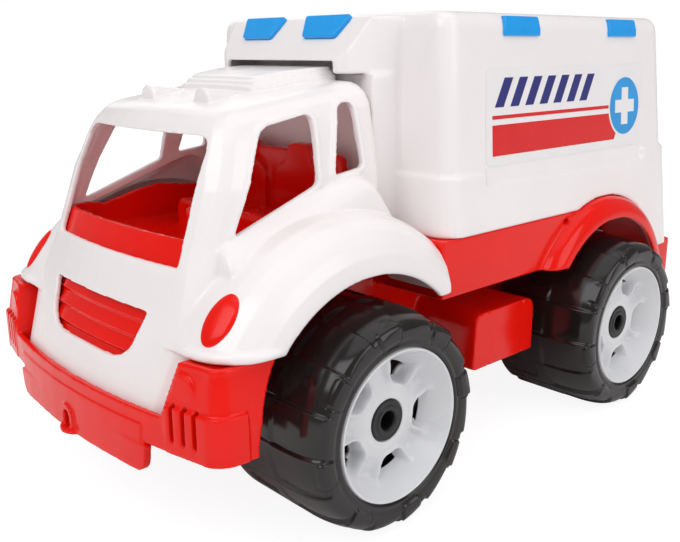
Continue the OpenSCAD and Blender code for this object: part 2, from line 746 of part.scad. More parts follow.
module screw_hole(p, z) {
    translate([p.x, p.y, z - deck_t - eps]) cylinder(h = deck_t + 2 * eps, r = screw_r + 0.2);
}
module tail() {
    front = tail_back - tail_l;
    outer = soften([[-tail_half_w, front], [tail_half_w, front], [tail_half_w, tail_back],
        [-tail_half_w, tail_back]], [1, 1, 6, 6]);
    inner = soften([[-tail_half_w + wall, front - 1], [tail_half_w - wall, front - 1],
        [tail_half_w - wall, tail_back - wall],
        [-tail_half_w + wall, tail_back - wall]], [1, 1, 4, 4]);
    difference() {
        translate([0, 0, tail_z]) linear_extrude(tail_top_z - tail_z) polygon(outer);
        translate([0, 0, tail_z - 1]) linear_extrude(tail_top_z - tail_z - wall + 1) polygon(inner);
    }
    translate([-frame_half_w, front, tail_z]) cube([2 * frame_half_w, deck_t,
        deck_z - deck_t - tail_z + eps]);
    translate([-frame_half_w, rear_x + box_rear - wall - 14, deck_z - deck_t])
        cube([2 * frame_half_w, front + deck_t - rear_x - box_rear + wall + 14, deck_t]);
}

// Box: lines that the body, label, lamps and door share
function box_half_at(z) = box_half_w - (z - deck_z) * side_draft;
function box_rear_at(z) = box_back - (z - ledge_z) * rear_draft;
function box_ring(z, out) = let (r = max(box_corner_r + out, 2))
    [for (p = bulged_plan(box_half_at(z) + out, box_front - max(out, -box_edge_r), box_rear_at(z) + out,
        r, r, 0)) [p.x, p.y, z]];
module box_form(out, low_z) {
    skin(concat([box_ring(low_z, out), box_ring(box_top_z - box_edge_r, out)],
        [for (f = [0.5, 0.2, 0.05, 0]) box_ring(box_top_z + roof_over - f * box_edge_r + ledge_t + out,
            out - edge_shrink(f * box_edge_r, box_edge_r))]));
}
// Band below the ledge, down to a given height
module band_form(out, low_z, high_z) {
    skin([box_ring(low_z, out), box_ring(high_z, out)]);
}
module box_body() color(white) from_front_axle() {
    difference() {
        union() {
            difference() {
                box_form(-ledge_t, deck_z);
                translate([-far / 2, -far / 2, box_top_z]) cube([far, 2 * far, far]);
            }
            difference() {
                band_form(0, deck_z, ledge_z);
                // The ledge drops under the label
                difference() {
                    translate([-far / 2, label_front, ledge_z - label_dip])
                        cube([far, label_l, label_dip + 1]);
                    box_form(-ledge_t, deck_z - 1);
                }
            }
            neck(0);
            hinge_lugs();
        }
        box_form(-ledge_t - wall, deck_z + wall);
        neck(wall);
        both_sides() rod_x(rear_wing_in - 1, far, rear_x, rear_arch_z, rear_wing_r + seat_gap);
        // Rear doorway
        along_y(box_front + 60, far, soften([[-door_half_w - seat_gap, door_z - seat_gap],
            [door_half_w + seat_gap, door_z - seat_gap],
            [door_half_w + seat_gap, door_top_z + seat_gap],
                [-door_half_w - seat_gap, door_top_z + seat_gap]], 6));
        rod_x(-far / 2, far / 2, hinge_y, hinge_z, pin_r + push_gap);
        both_sides() for (p = box_screws) translate([p.x, p.y, deck_z - eps])
            cylinder(h = screw_l - deck_t, r = screw_r);
    }
    box_posts();
    apron();
    door_stop();
}
module neck(inset) {
    translate([0, 0, deck_z + inset]) linear_extrude(fairing_z - deck_z - 2 * inset)
        polygon([[-neck_half_w + 4 + inset, neck_front + inset],
            [neck_half_w - 4 - inset, neck_front + inset],
            [neck_half_w - inset, box_front + wall + 1 + inset],
                [-neck_half_w + inset, box_front + wall + 1 + inset]]);
}
module box_posts() {
    both_sides() for (p = box_screws) translate([p.x, p.y, deck_z]) difference() {
        cylinder(h = screw_l, r = box_post_r);
        translate([0, 0, -eps]) cylinder(h = screw_l - deck_t, r = screw_r);
    }
}
// Skirt behind the rear wheel arches
module apron() {
    low = tail_top_z + seat_gap;
    difference() {
        band_form(0, low, deck_z + eps);
        band_form(-wall, low - 1, deck_z + 1);
        translate([-far / 2, -far, 0]) cube([far, far + rear_x + 12, far]);
        rod_x(-far / 2, far / 2, rear_x, rear_arch_z, rear_wing_r + seat_gap);
    }
}
module hinge_lugs() {
    for (x = [-barrel_x * 1.5, 0, barrel_x * 1.5]) translate([x - barrel_l / 4, 0, 0]) {
        rod_x(0, barrel_l / 2, hinge_y, hinge_z, barrel_r);
        translate([0, hinge_y - barrel_r - 2.5, hinge_z - barrel_r])
            cube([barrel_l / 2, barrel_r + 2.5, barrel_r]);
    }
}
// Two pads inside the doorway that the closed door rests on
module door_stop() {
    both_sides() translate([door_half_w - 6, 0, 0])
        along_x(0, 12, [[box_rear_at(door_z + 8) - ledge_t - wall - 2, door_z + 8],
            [box_rear_at(door_z + 8) - ledge_t - wall + eps, door_z + 8],
            [box_rear_at(door_z + 20) - ledge_t - wall + eps, door_z + 20],
                [box_rear_at(door_z + 20) - ledge_t - wall - 2, door_z + 20]]);
}

// Tailgate: ribbed panel, two hinge barrels and a moulded pull
module rear_door() color(red) from_front_axle() difference() {
    out = -ledge_t + 1;
    union() {
        intersection() {
            difference() {
                box_form(out, door_z - 5);
                box_form(out - door_t, door_z - 6);
            }
            along_y(box_front + 60, far, soften([[-door_half_w, door_z], [door_half_w, door_z],
                [door_half_w, door_top_z],
                [-door_half_w, door_top_z]], 6));
        }
        both_sides() intersection() {
            difference() {
                box_form(out + 1.5, door_z - 5);
                box_form(out - 1, door_z - 6);
            }
            along_y(box_front + 60, far, soften([[8, door_z + 10], [door_half_w - 8, door_z + 10],
                [door_half_w - 8, door_top_z - 14],
                [8, door_top_z - 14]], 5));
        }
        translate([-14, box_rear_at(door_z + 4) - ledge_t - 1, door_z + 2]) cube([28, 9, 4]);
        both_sides() translate([barrel_x * 0.75 - barrel_l / 2, 0, 0]) {
            rod_x(0, barrel_l, hinge_y, hinge_z, barrel_r);
            along_x(0, barrel_l, [[hinge_y - 1.5, hinge_z], [hinge_y + barrel_r - 1, hinge_z],
                [box_rear_at(door_top_z - 8) + out, door_top_z - 8],
                    [box_rear_at(door_top_z - 8) + out - 2, door_top_z - 8],
                [box_rear_at(door_top_z) + out - 1, door_top_z]]);
        }
    }
    rod_x(-far / 2, far / 2, hinge_y, hinge_z, pin_r + run_gap);
}
module door_pin() color("silver") from_front_axle()
    rod_x(-barrel_x * 1.5 - barrel_l / 4, barrel_x * 1.5 + barrel_l / 4, hinge_y, hinge_z, pin_r);

// Labels and side lamps lie on the box's own form
module side_label() color(white) from_front_axle() intersection() {
    difference() {
        box_form(label_t - ledge_t, deck_z);
        box_form(-ledge_t, deck_z - 1);
    }
    along_x(0, far, soften([[label_front + 1, label_z], [label_front + label_l - 1, label_z],
        [label_front + label_l - 1, label_z + label_h], [label_front + 1, label_z + label_h]], 4));
}
module side_label_left() side_label();
module side_label_right() mirror([1, 0, 0]) side_label();

side_lamp_places = [box_front + 44, box_front + 140];
module side_lamp(y) color(blue) from_front_axle() intersection() {
    difference() {
        box_form(side_lamp_t - ledge_t, deck_z);
        box_form(-ledge_t, deck_z - 1);
    }
    along_x(box_half_at(box_top_z) - 14, far, soften([[y, box_top_z - side_lamp_h],
        [y + side_lamp_l, box_top_z - side_lamp_h],
        [y + side_lamp_l - 1, box_top_z - side_lamp_in], [y + 1, box_top_z - side_lamp_in]], 1.5));
}
module side_lamp_front_left() side_lamp(side_lamp_places[0]);
module side_lamp_front_right() mirror([1, 0, 0]) side_lamp(side_lamp_places[0]);
module side_lamp_rear_left() side_lamp(side_lamp_places[1]);
module side_lamp_rear_right() mirror([1, 0, 0]) side_lamp(side_lamp_places[1]);

// Fairing over the cab roof, a bridge open below its front edge
fairing_open_z = fairing_z + 6;
function fairing_plan(inset) = [[-fairing_half_w + inset, fairing_front + inset],
    [fairing_half_w - inset, fairing_front + inset],
    [fairing_half_w + 6 - inset, fairing_front + 4 + inset], [neck_half_w - inset, box_front + ledge_t],
        [-neck_half_w + inset, box_front + ledge_t],
    [-fairing_half_w - 6 + inset, fairing_front + 4 + inset]];
function fairing_side(inset) = let (rise = fairing_top_z - fairing_open_z, run = rise * tan(fairing_lean))
    [[fairing_front + inset, 0], [fairing_front + inset, fairing_open_z],
        [fairing_front + run + inset, fairing_top_z - inset],
    [far, fairing_top_z - inset], [far, 0]];
module fairing_form(inset, low_z) {
    intersection() {
        translate([0, 0, low_z]) linear_extrude(fairing_top_z - low_z) polygon(fairing_plan(inset));
        along_x(-far, far, fairing_side(inset * 1.2));
    }
}
module roof_fairing() color(white) from_front_axle() difference() {
    fairing_form(0, fairing_z);
    fairing_form(wall, fairing_z - 1);
    translate([-fairing_half_w + 2, 0, fairing_z - 1])
        cube([2 * fairing_half_w - 4, fairing_front + 8, 7]);
    both_sides() beacon_block(seat_gap / 2, -1.2, 10);
}
module beacon_block(grow, low, high) {
    translate([0, fairing_front, fairing_open_z]) rotate([-fairing_lean, 0, 0]) translate([0, -high, 0])
        rotate([-90, 0, 0])
        linear_extrude(high - low) mirror([0, 1]) polygon(soften([[beacon_in + 3 - grow,
            beacon_low - grow],
            [beacon_in + beacon_w - 3 + grow, beacon_low - grow],
            [beacon_in + beacon_w + 2 + grow, beacon_low + beacon_h + grow],
            [beacon_in - 2 - grow, beacon_low + beacon_h + grow]], [1, 1, 2, 2]));
}
module beacon() color(blue) from_front_axle() beacon_block(0, -1.2, beacon_t - 1.2);
module beacon_left() beacon();
module beacon_right() mirror([1, 0, 0]) beacon();

// Wheels
module at_axle(y) translate([0, y, axle_z]) children();

function tyre_profile() = let (r = tyre_r, s = tyre_skin, in_r = rim_r + push_gap, o = half_track,
    i = tyre_in)
    concat([[in_r, i + s], [in_r, i], [r - 4, i]], arc(r - 4, i + 4, 4, -90, 0, 4),
        [[r, o - shoulder_w]],
        [for (k = [1:5]) [r - shoulder_drop * (1 - cos(18 * k)),
            o - shoulder_w + shoulder_w * sin(18 * k)]],
        [[in_r + 3, o], [in_r, o - 2], [in_r, o - s - 1], [r - shoulder_drop - s, o - s - 1],
            [r - s, o - shoulder_w],
        [r - s, i + s]]);
module tyre_form() color(black) difference() {
    rotate([0, 90, 0]) rotate_extrude() polygon(tyre_profile());
    for (k = [0:lug_count - 1]) rotate([360 * k / lug_count, 0, 0]) {
        translate([tyre_in - 1, -0.7, tyre_r - tread_depth]) cube([tyre_w - shoulder_w + 1, 1.4, tyre_r]);
        translate([half_track - shoulder_w - 2, -2.6, tyre_r - 1.8]) cube([shoulder_w + 3, 5.2, tyre_r]);
        rotate([180 / lug_count, 0, 0]) translate([k % 2 == 0 ? tyre_in + 6 : tyre_in + 22, 0,
            tyre_r - tread_depth])
            linear_extrude(tyre_r) polygon(soften([[0, -4.5], [18, -4.5], [18, 4.5], [0, 4.5]], 2.5));
    }
}
module tyre_front_left() at_axle(front_axle_y) tyre_form();
module tyre_front_right() at_axle(front_axle_y) mirror([1, 0, 0]) tyre_form();
module tyre_rear_left() at_axle(rear_axle_y) tyre_form();
module tyre_rear_right() at_axle(rear_axle_y) mirror([1, 0, 0]) tyre_form();

dish_r = rim_r - 4.5;
function rim_profile() = let (o = half_track, bore = axle_r + run_gap, pocket = cap_r + seat_gap,
    back = o - dish_depth - 4)
    [[bore, hub_in], [hub_r, hub_in], [hub_r, back], [rim_r - 3, back], [rim_r - 3, tyre_in + 2],
        [rim_r, tyre_in + 2], [rim_r, o],
    [rim_r - 1.6, o], [dish_r + 1.5, o - dish_depth + 2], [dish_r - 1, o - dish_depth],
        [hub_r + 6, o - dish_depth + 2],
    [hub_r + 1, hub_face - 1], [hub_r, hub_face], [pocket, hub_face], [pocket, cap_in - seat_gap],
        [bore, cap_in - seat_gap]];
module rim_form() color(rim_white) difference() {
    rotate([0, 90, 0]) rotate_extrude() polygon(rim_profile());
    for (k = [0:spoke_count - 1]) rotate([0, 90, 0]) rotate(11 + 360 * k / spoke_count)
        translate([0, 0, tyre_in + 4])
        linear_extrude(tyre_w) polygon(soften([[hub_r + 5.5, -5], [dish_r - 1, -9], [dish_r + 0.3, 0],
            [dish_r - 1, 9],
            [hub_r + 5.5, 5]], [3, 2, 3, 2, 3]));
}
module rim_front_left() at_axle(front_axle_y) rim_form();
module rim_front_right() at_axle(front_axle_y) mirror([1, 0, 0]) rim_form();
module rim_rear_left() at_axle(rear_axle_y) rim_form();
module rim_rear_right() at_axle(rear_axle_y) mirror([1, 0, 0]) rim_form();

module cap_form() color(black) rotate([0, 90, 0]) rotate_extrude()
    polygon([[axle_r + push_gap, cap_in], [cap_r, cap_in],
    [cap_r, cap_out - 1], [cap_r - 1, cap_out], [axle_bore_r + 1, cap_out], [axle_bore_r, cap_out - 0.6],
        [axle_bore_r, axle_end],
    [axle_r + push_gap, axle_end]]);
module cap_front_left() at_axle(front_axle_y) cap_form();
module cap_front_right() at_axle(front_axle_y) mirror([1, 0, 0]) cap_form();
module cap_rear_left() at_axle(rear_axle_y) cap_form();
module cap_rear_right() at_axle(rear_axle_y) mirror([1, 0, 0]) cap_form();

module axle_form() color(black) difference() {
    rod_x(-axle_end, axle_end, 0, 0, axle_r);
    rod_x(-far, far, 0, 0, axle_bore_r);
}
module front_axle() at_axle(front_axle_y) axle_form();
module rear_axle() at_axle(rear_axle_y) axle_form();

module screw(p, z) {
    translate([p.x, p.y, z - deck_t - screw_head_t]) {
        cylinder(h = screw_head_t, r = screw_head_r);
        translate([0, 0, screw_head_t - eps]) cylinder(h = screw_l - 1, r = screw_r - push_gap);
    }
}
module chassis_screws() color("silver") from_front_axle() both_sides() {
    for (p = box_screws) screw(p, deck_z);
    for (p = tub_screws) screw(p, front_deck_z);
    for (p = bumper_screws) screw(p, lug_top_z);
}

chassis();
front_bumper();
cab_shell();
seat_tub();
grille_insert();
headlamp_left();
headlamp_right();
box_body();
roof_fairing();
beacon_left();
beacon_right();
side_lamp_front_left();
side_lamp_front_right();
side_lamp_rear_left();
side_lamp_rear_right();
side_label_left();
side_label_right();
rear_door();
door_pin();
front_axle();
rear_axle();
tyre_front_left();
tyre_front_right();
tyre_rear_left();
tyre_rear_right();
rim_front_left();
rim_front_right();
rim_rear_left();
rim_rear_right();
cap_front_left();
cap_front_right();
cap_rear_left();
cap_rear_right();
chassis_screws();
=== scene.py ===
import json
import math

import bmesh
import bpy
import numpy as np
from mathutils import Matrix, Vector


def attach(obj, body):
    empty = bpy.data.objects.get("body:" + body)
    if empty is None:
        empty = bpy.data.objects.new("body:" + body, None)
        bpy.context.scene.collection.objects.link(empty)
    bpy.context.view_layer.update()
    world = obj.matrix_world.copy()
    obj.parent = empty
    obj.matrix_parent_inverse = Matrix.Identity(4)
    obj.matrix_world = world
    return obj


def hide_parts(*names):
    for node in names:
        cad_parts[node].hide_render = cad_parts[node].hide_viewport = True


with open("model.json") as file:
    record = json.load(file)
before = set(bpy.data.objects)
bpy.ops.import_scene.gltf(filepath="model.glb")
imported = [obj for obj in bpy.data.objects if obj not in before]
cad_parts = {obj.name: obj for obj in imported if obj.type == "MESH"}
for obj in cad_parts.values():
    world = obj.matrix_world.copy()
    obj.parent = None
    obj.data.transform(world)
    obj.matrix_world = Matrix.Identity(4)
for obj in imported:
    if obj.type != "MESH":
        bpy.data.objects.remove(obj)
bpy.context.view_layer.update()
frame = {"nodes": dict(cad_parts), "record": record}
nodes = frame["nodes"]
scene = bpy.context.scene
mm = 0.001
seam = 2e-6               # m, points nearer than this are sewn together
frontAxleY = -97.0        # the drawing's lengths are counted from the front axle
wheelPlaces = [(axle, side) for axle in ("front", "rear") for side in ("left", "right")]
print("frame loaded:", len(nodes), "nodes")


# camera, floor and studio light

studio = {
    "cameraAt": (339.96, -337.36, 206.46),    # mm
    "azimuth": 47.311,
    "elevation": 15.005,
    "roll": -0.331,
    "lens": 44.09,
    "floorHex": "F4F4F4",
    "floorHalf": 6.0,                         # m
    "floorGlow": (0.75, 1.2),                 # share and strength, for the camera only
    "roomLight": (0.6, 0.3),                  # strength on surfaces and in reflections
    "roomColour": (0.9, 0.89, 0.89, 1),
    # place, aim and sides in m, power in W
    "softboxes": {
        "keySoftbox": ((0.35, -1.35, 1.35), (0, -0.05, 0.1), (1.3, 1.0), 10.4),
        "topSoftbox": ((0.2, 0.1, 1.7), (0, 0, 0.1), (1.6, 1.6), 6.5),
        "sideSoftbox": ((1.5, 0.35, 0.75), (0, 0, 0.1), (0.9, 1.0), 5.5),
        "farSoftbox": ((-1.3, 0.6, 1.0), (0, 0, 0.1), (1.0, 1.0), 3),
    },
}


def hexLinear(code):
    parts = [int(code[i:i + 2], 16) / 255 for i in (0, 2, 4)]
    return [p / 12.92 if p <= 0.04045 else ((p + 0.055) / 1.055) ** 2.4 for p in parts] + [1.0]


def addNode(tree, kind, inputs=None, links=None, **settings):
    node = tree.nodes.new(kind)
    for key, value in settings.items():
        setattr(node, key, value)
    for key, value in (inputs or {}).items():
        node.inputs[key].default_value = value
    for key, (other, socket) in (links or {}).items():
        tree.links.new(other.outputs[socket], node.inputs[key])
    return node


def emptyMaterial(name):
    material = bpy.data.materials.new(name)
    material.use_nodes = True
    material.node_tree.nodes.clear()
    return material, material.node_tree


def setCamera():
    a, e, r = (math.radians(studio[k]) for k in ("azimuth", "elevation", "roll"))
    back = Vector((math.sin(a) * math.cos(e), -math.cos(a) * math.cos(e), math.sin(e)))
    right = Vector((math.cos(a), math.sin(a), 0))
    up = back.cross(right)
    turnedRight = right * math.cos(r) + up * math.sin(r)
    turnedUp = up * math.cos(r) - right * math.sin(r)
    data = bpy.data.cameras.new("photoCamera")
    data.sensor_width = 36
    data.sensor_fit = "HORIZONTAL"
    data.lens = studio["lens"]
    data.clip_start, data.clip_end = 0.01, 50
    camera = bpy.data.objects.new("photoCamera", data)
    axes = Matrix((turnedRight, turnedUp, back)).transposed().to_4x4()
    camera.matrix_world = Matrix.Translation(Vector(studio["cameraAt"]) * mm) @ axes
    scene.collection.objects.link(camera)
    scene.camera = camera


def setRoom():
    scene.view_settings.view_transform = "Standard"
    world = bpy.data.worlds.new("studioWorld")
    scene.world = world
    world.use_nodes = True
    tree = world.node_tree
    tree.nodes.clear()
    surfaces, reflections = studio["roomLight"]
    light = addNode(tree, "ShaderNodeLightPath")
    seen = addNode(tree, "ShaderNodeMath", operation="MAXIMUM",
                   links={0: (light, "Is Camera Ray"), 1: (light, "Is Transmission Ray")})
    gloss = addNode(tree, "ShaderNodeMapRange", {"To Min": surfaces, "To Max": reflections},
                    {"Value": (light, "Is Glossy Ray")})
    room = addNode(tree, "ShaderNodeBackground", {"Color": studio["roomColour"]},
                   {"Strength": (gloss, "Result")})
    white = addNode(tree, "ShaderNodeBackground", {"Color": (1, 1, 1, 1), "Strength": 1.0})
    mix = addNode(tree, "ShaderNodeMixShader", links={0: (seen, 0), 1: (room, 0), 2: (white, 0)})
    addNode(tree, "ShaderNodeOutputWorld", links={"Surface": (mix, 0)})


def setFloor():
    mesh = bpy.data.meshes.new("studioFloor")
    s = studio["floorHalf"]
    mesh.from_pydata([(-s, -s, 0), (s, -s, 0), (s, s, 0), (-s, s, 0)], [], [(0, 1, 2, 3)])
    floor = bpy.data.objects.new("studioFloor", mesh)
    scene.collection.objects.link(floor)
    paper, tree = emptyMaterial("paleStudioPaper")      # matt card, seen as white, keeps the shadow
    glowShare, glowStrength = studio["floorGlow"]
    light = addNode(tree, "ShaderNodeLightPath")
    share = addNode(tree, "ShaderNodeMath", {1: glowShare}, {0: (light, "Is Camera Ray")},
                    operation="MULTIPLY")
    matt = addNode(tree, "ShaderNodeBsdfDiffuse", {"Color": hexLinear(studio["floorHex"])})
    glow = addNode(tree, "ShaderNodeEmission", {"Color": (1, 1, 1, 1), "Strength": glowStrength})
    mix = addNode(tree, "ShaderNodeMixShader", links={0: (share, 0), 1: (matt, 0), 2: (glow, 0)})
    addNode(tree, "ShaderNodeOutputMaterial", links={"Surface": (mix, 0)})
    mesh.materials.append(paper)


def setSoftboxes():
    for name, (place, target, size, power) in studio["softboxes"].items():
        data = bpy.data.lights.new(name, "AREA")
        data.shape = "RECTANGLE"
        data.size, data.size_y = size
        data.energy = power
        lamp = bpy.data.objects.new(name, data)
        aim = Vector(target) - Vector(place)
        turn = aim.to_track_quat("-Z", "Y").to_matrix().to_4x4()
        lamp.matrix_world = Matrix.Translation(place) @ turn
        scene.collection.objects.link(lamp)


setCamera()
setRoom()
setFloor()
setSoftboxes()
print("studio set")


# moulded plastics, printed film and steel

plastics = {
    # polypropylene, injection moulded and polished: clear gloss with faint flow marks
    "polypropyleneRed": {"hex": "EC1306", "rough": 0.15, "vary": 0.05, "flowMm": 38, "peelMm": 2.2,
                         "gleam": 0.3},
    "polypropyleneWhite": {"hex": "F3EEEE", "rough": 0.2, "vary": 0.02, "flowMm": 45, "peelMm": 2.2},
    "polypropyleneRim": {"hex": "DCDDE0", "rough": 0.3, "vary": 0.03, "flowMm": 26, "peelMm": 1.6},
    "polypropyleneAzure": {"hex": "189FEE", "rough": 0.15, "vary": 0.05, "flowMm": 20, "peelMm": 1.8},
    # polyethylene, blow moulded: deep black with a soft waxy gloss
    "polyethyleneTyre": {"hex": "1E1919", "rough": 0.15, "vary": 0.12, "flowMm": 30, "peelMm": 2.6},
    "polyethyleneCap": {"hex": "17181A", "rough": 0.42, "vary": 0.1, "flowMm": 12, "peelMm": 1.2},
    # calendered vinyl and the screen inks on it: satin, slightly uneven
    "screenInkRed": {"hex": "DD1A1B", "rough": 0.34, "vary": 0.04, "flowMm": 16, "peelMm": 0.9},
    "screenInkAzure": {"hex": "2C9BE0", "rough": 0.34, "vary": 0.1, "flowMm": 22, "peelMm": 0.9},
    "screenInkNavy": {"hex": "2A2A78", "rough": 0.36, "vary": 0.05, "flowMm": 16, "peelMm": 0.9},
    "vinylWhite": {"hex": "EEEBEC", "rough": 0.33, "vary": 0.015, "flowMm": 30, "peelMm": 1.2},
}
mouldSkin = {
    "ior": 1.49,
    "gleam": 0.5,                  # where a plastic names none
    "flowBand": (0.3, 0.7),        # of the noise, spread over the flow marks
    "roughSwing": (0.85, 1.2),
    "peel": (0.035, 0.0004),       # strength, and height in m
    "paleShare": 0.5,              # flow marks turn paler by this share of what they darken
}
steel = {"hex": "B9BCC0", "grainMm": 0.8, "rough": (0.28, 0.46)}    # grain coarser than real, to show


def mouldedPlastic(name):
    look = plastics[name]
    low, high = mouldSkin["flowBand"]
    smooth, dull = (look["rough"] * swing for swing in mouldSkin["roughSwing"])
    strength, height = mouldSkin["peel"]
    base = hexLinear(look["hex"])
    dark = [c * (1 - look["vary"]) for c in base[:3]] + [1.0]
    light = [min(1.0, c * (1 + look["vary"] * mouldSkin["paleShare"])) for c in base[:3]] + [1.0]
    material, tree = emptyMaterial(name)
    place = addNode(tree, "ShaderNodeTexCoord")
    flow = addNode(tree, "ShaderNodeTexNoise",
                   {"Scale": 1 / (look["flowMm"] * mm), "Detail": 3.0, "Distortion": 0.6},
                   {"Vector": (place, "Object")})
    peel = addNode(tree, "ShaderNodeTexNoise", {"Scale": 1 / (look["peelMm"] * mm), "Detail": 2.0},
                   {"Vector": (place, "Object")})
    marks = addNode(tree, "ShaderNodeValToRGB", links={"Fac": (flow, "Fac")})
    for stop, at, colour in zip(marks.color_ramp.elements, (low, high), (dark, light)):
        stop.position, stop.color = at, colour
    rough = addNode(tree, "ShaderNodeMapRange",
                    {"From Min": low, "From Max": high, "To Min": smooth, "To Max": dull},
                    {"Value": (flow, "Fac")})
    bump = addNode(tree, "ShaderNodeBump", {"Strength": strength, "Distance": height},
                   {"Height": (peel, "Fac")})
    shader = addNode(tree, "ShaderNodeBsdfPrincipled",
                     {"IOR": mouldSkin["ior"], "Metallic": 0.0,
                      "Specular IOR Level": look.get("gleam", mouldSkin["gleam"])},
                     {"Base Color": (marks, "Color"), "Roughness": (rough, "Result"),
                      "Normal": (bump, "Normal")})
    addNode(tree, "ShaderNodeOutputMaterial", links={"Surface": (shader, "BSDF")})
    return material


def drawnSteel():
    material, tree = emptyMaterial("zincPlatedSteel")    # cold headed wire: grey, finely uneven shine
    smooth, dull = steel["rough"]
    place = addNode(tree, "ShaderNodeTexCoord")
    grain = addNode(tree, "ShaderNodeTexNoise", {"Scale": 1 / (steel["grainMm"] * mm), "Detail": 4.0},
                    {"Vector": (place, "Object")})
    rough = addNode(tree, "ShaderNodeMapRange", {"To Min": smooth, "To Max": dull},
                    {"Value": (grain, "Fac")})
    shader = addNode(tree, "ShaderNodeBsdfPrincipled",
                     {"Base Color": hexLinear(steel["hex"]), "Metallic": 1.0},
                     {"Roughness": (rough, "Result")})
    addNode(tree, "ShaderNodeOutputMaterial", links={"Surface": (shader, "BSDF")})
    return material


finish = {name: mouldedPlastic(name) for name in plastics}
finish["zincPlatedSteel"] = drawnSteel()
slotFinish = {
    "red_moulding": "polypropyleneRed",
    "white_moulding": "polypropyleneWhite",
    "rim_moulding": "polypropyleneRim",
    "blue_moulding": "polypropyleneAzure",
    "black_moulding": "polyethyleneCap",
    "tyre_moulding": "polyethyleneTyre",
    "printed_label": "vinylWhite",
    "steel_wire": "zincPlatedSteel",
}
nodeSlot = {s["node"]: s["material_slot"] for s in frame["record"]["subparts"]}
for nodeName, node in nodes.items():
    node.data.materials.clear()
    node.data.materials.append(finish[slotFinish[nodeSlot[nodeName]]])
print("finishes made:", len(finish))


# pieces: making, placing and handing over

def newPiece(name, points, faces):
    mesh = bpy.data.meshes.new(name)
    mesh.from_pydata([tuple(p) for p in points], [], [tuple(f) for f in faces])
    mesh.update()
    piece = bpy.data.objects.new(name, mesh)
    scene.collection.objects.link(piece)
    return piece


def plainMesh(piece):
    bpy.context.view_layer.update()
    shaped = piece.evaluated_get(bpy.context.evaluated_depsgraph_get())
    mesh = bpy.data.meshes.new_from_object(shaped)
    piece.modifiers.clear()
    old = piece.data
    piece.data = mesh
    bpy.data.meshes.remove(old)
    mesh.name = piece.name
    return piece


def handOver(piece, body, slotName, replaced=(), finishName=None):
    piece.data.materials.clear()
    piece.data.materials.append(finish[finishName or slotFinish[slotName]])
    piece.data.shade_smooth()
    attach(piece, body)
    if replaced:
        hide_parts(*replaced)
    return piece


def triangleCount(mesh):
    return sum(len(p.vertices) - 2 for p in mesh.polygons)


def sewNormals(piece, merge=0.0):
    form = bmesh.new()
    form.from_mesh(piece.data)
    if merge:
        bmesh.ops.remove_doubles(form, verts=form.verts, dist=merge)
    bmesh.ops.recalc_face_normals(form, faces=form.faces)
    form.to_mesh(piece.data)
    form.free()
    return piece


def mergeInto(form, parts):
    for part in parts:
        form.from_mesh(part.data)
        bpy.data.objects.remove(part)


def pieceFrom(form, name):
    mesh = bpy.data.meshes.new(name)
    form.to_mesh(mesh)
    form.free()
    piece = bpy.data.objects.new(name, mesh)
    scene.collection.objects.link(piece)
    return piece


def takeSolid(form, cadName):
    solid = nodes[cadName].data.copy()
    solid.transform(nodes[cadName].matrix_world)
    form.from_mesh(solid)
    bpy.data.meshes.remove(solid)


def ramp(u, start=0.0, end=1.0):
    u = np.clip((u - start) / (end - start), 0, 1)
    return u * u * (3 - 2 * u)


def bell(u):
    return np.clip(1 - u * u, 0, 1) ** 2


def inside(distance, soft):
    return ramp(0.5 - distance / soft)


def roundedBox(u, v, halfU, halfV, radius):
    du, dv = np.abs(u) - halfU + radius, np.abs(v) - halfV + radius
    return np.minimum(np.maximum(du, dv), 0) + np.hypot(np.maximum(du, 0), np.maximum(dv, 0)) - radius


def gridFaces(n, m, closeN, closeM):
    # quads over n rows of m points, closed round in either direction
    faces = []
    for i in range(n if closeN else n - 1):
        here, onward = i * m, (i + 1) % n * m
        faces += [(here + j, onward + j, onward + (j + 1) % m, here + (j + 1) % m)
                  for j in range(m if closeM else m - 1)]
    return faces


def closedSheet(name, outer, inner, wrap):
    # two skins in mm, joined round the border; wrap closes the rows round a pole
    n, m = outer.shape[:2]
    below = n * m
    points = np.concatenate([outer.reshape(-1, 3), inner.reshape(-1, 3)]) * mm
    cells = gridFaces(n, m, wrap, False)
    rows = range(n if wrap else n - 1)
    border = [(i * m + j, (i + 1) % n * m + j) for i in rows for j in ((m - 1,) if wrap else (0, m - 1))]
    if not wrap:
        border += [(i * m + j, i * m + j + 1) for i in (0, n - 1) for j in range(m - 1)]
    faces = cells + [tuple(c + below for c in cell) for cell in cells]
    faces += [(a, b, b + below, a + below) for a, b in border]
    return sewNormals(newPiece(name, points, faces), seam)


def ovalGrid(halfU, halfV, rays, rings):
    turns = np.linspace(0, 2 * math.pi, rays, endpoint=False)
    turn, share = np.meshgrid(turns, np.sin(np.linspace(0, math.pi / 2, rings)), indexing="ij")
    return halfU * share * np.cos(turn), halfV * share * np.sin(turn), share


# nose and wings of the cab: lengths in mm from the front axle

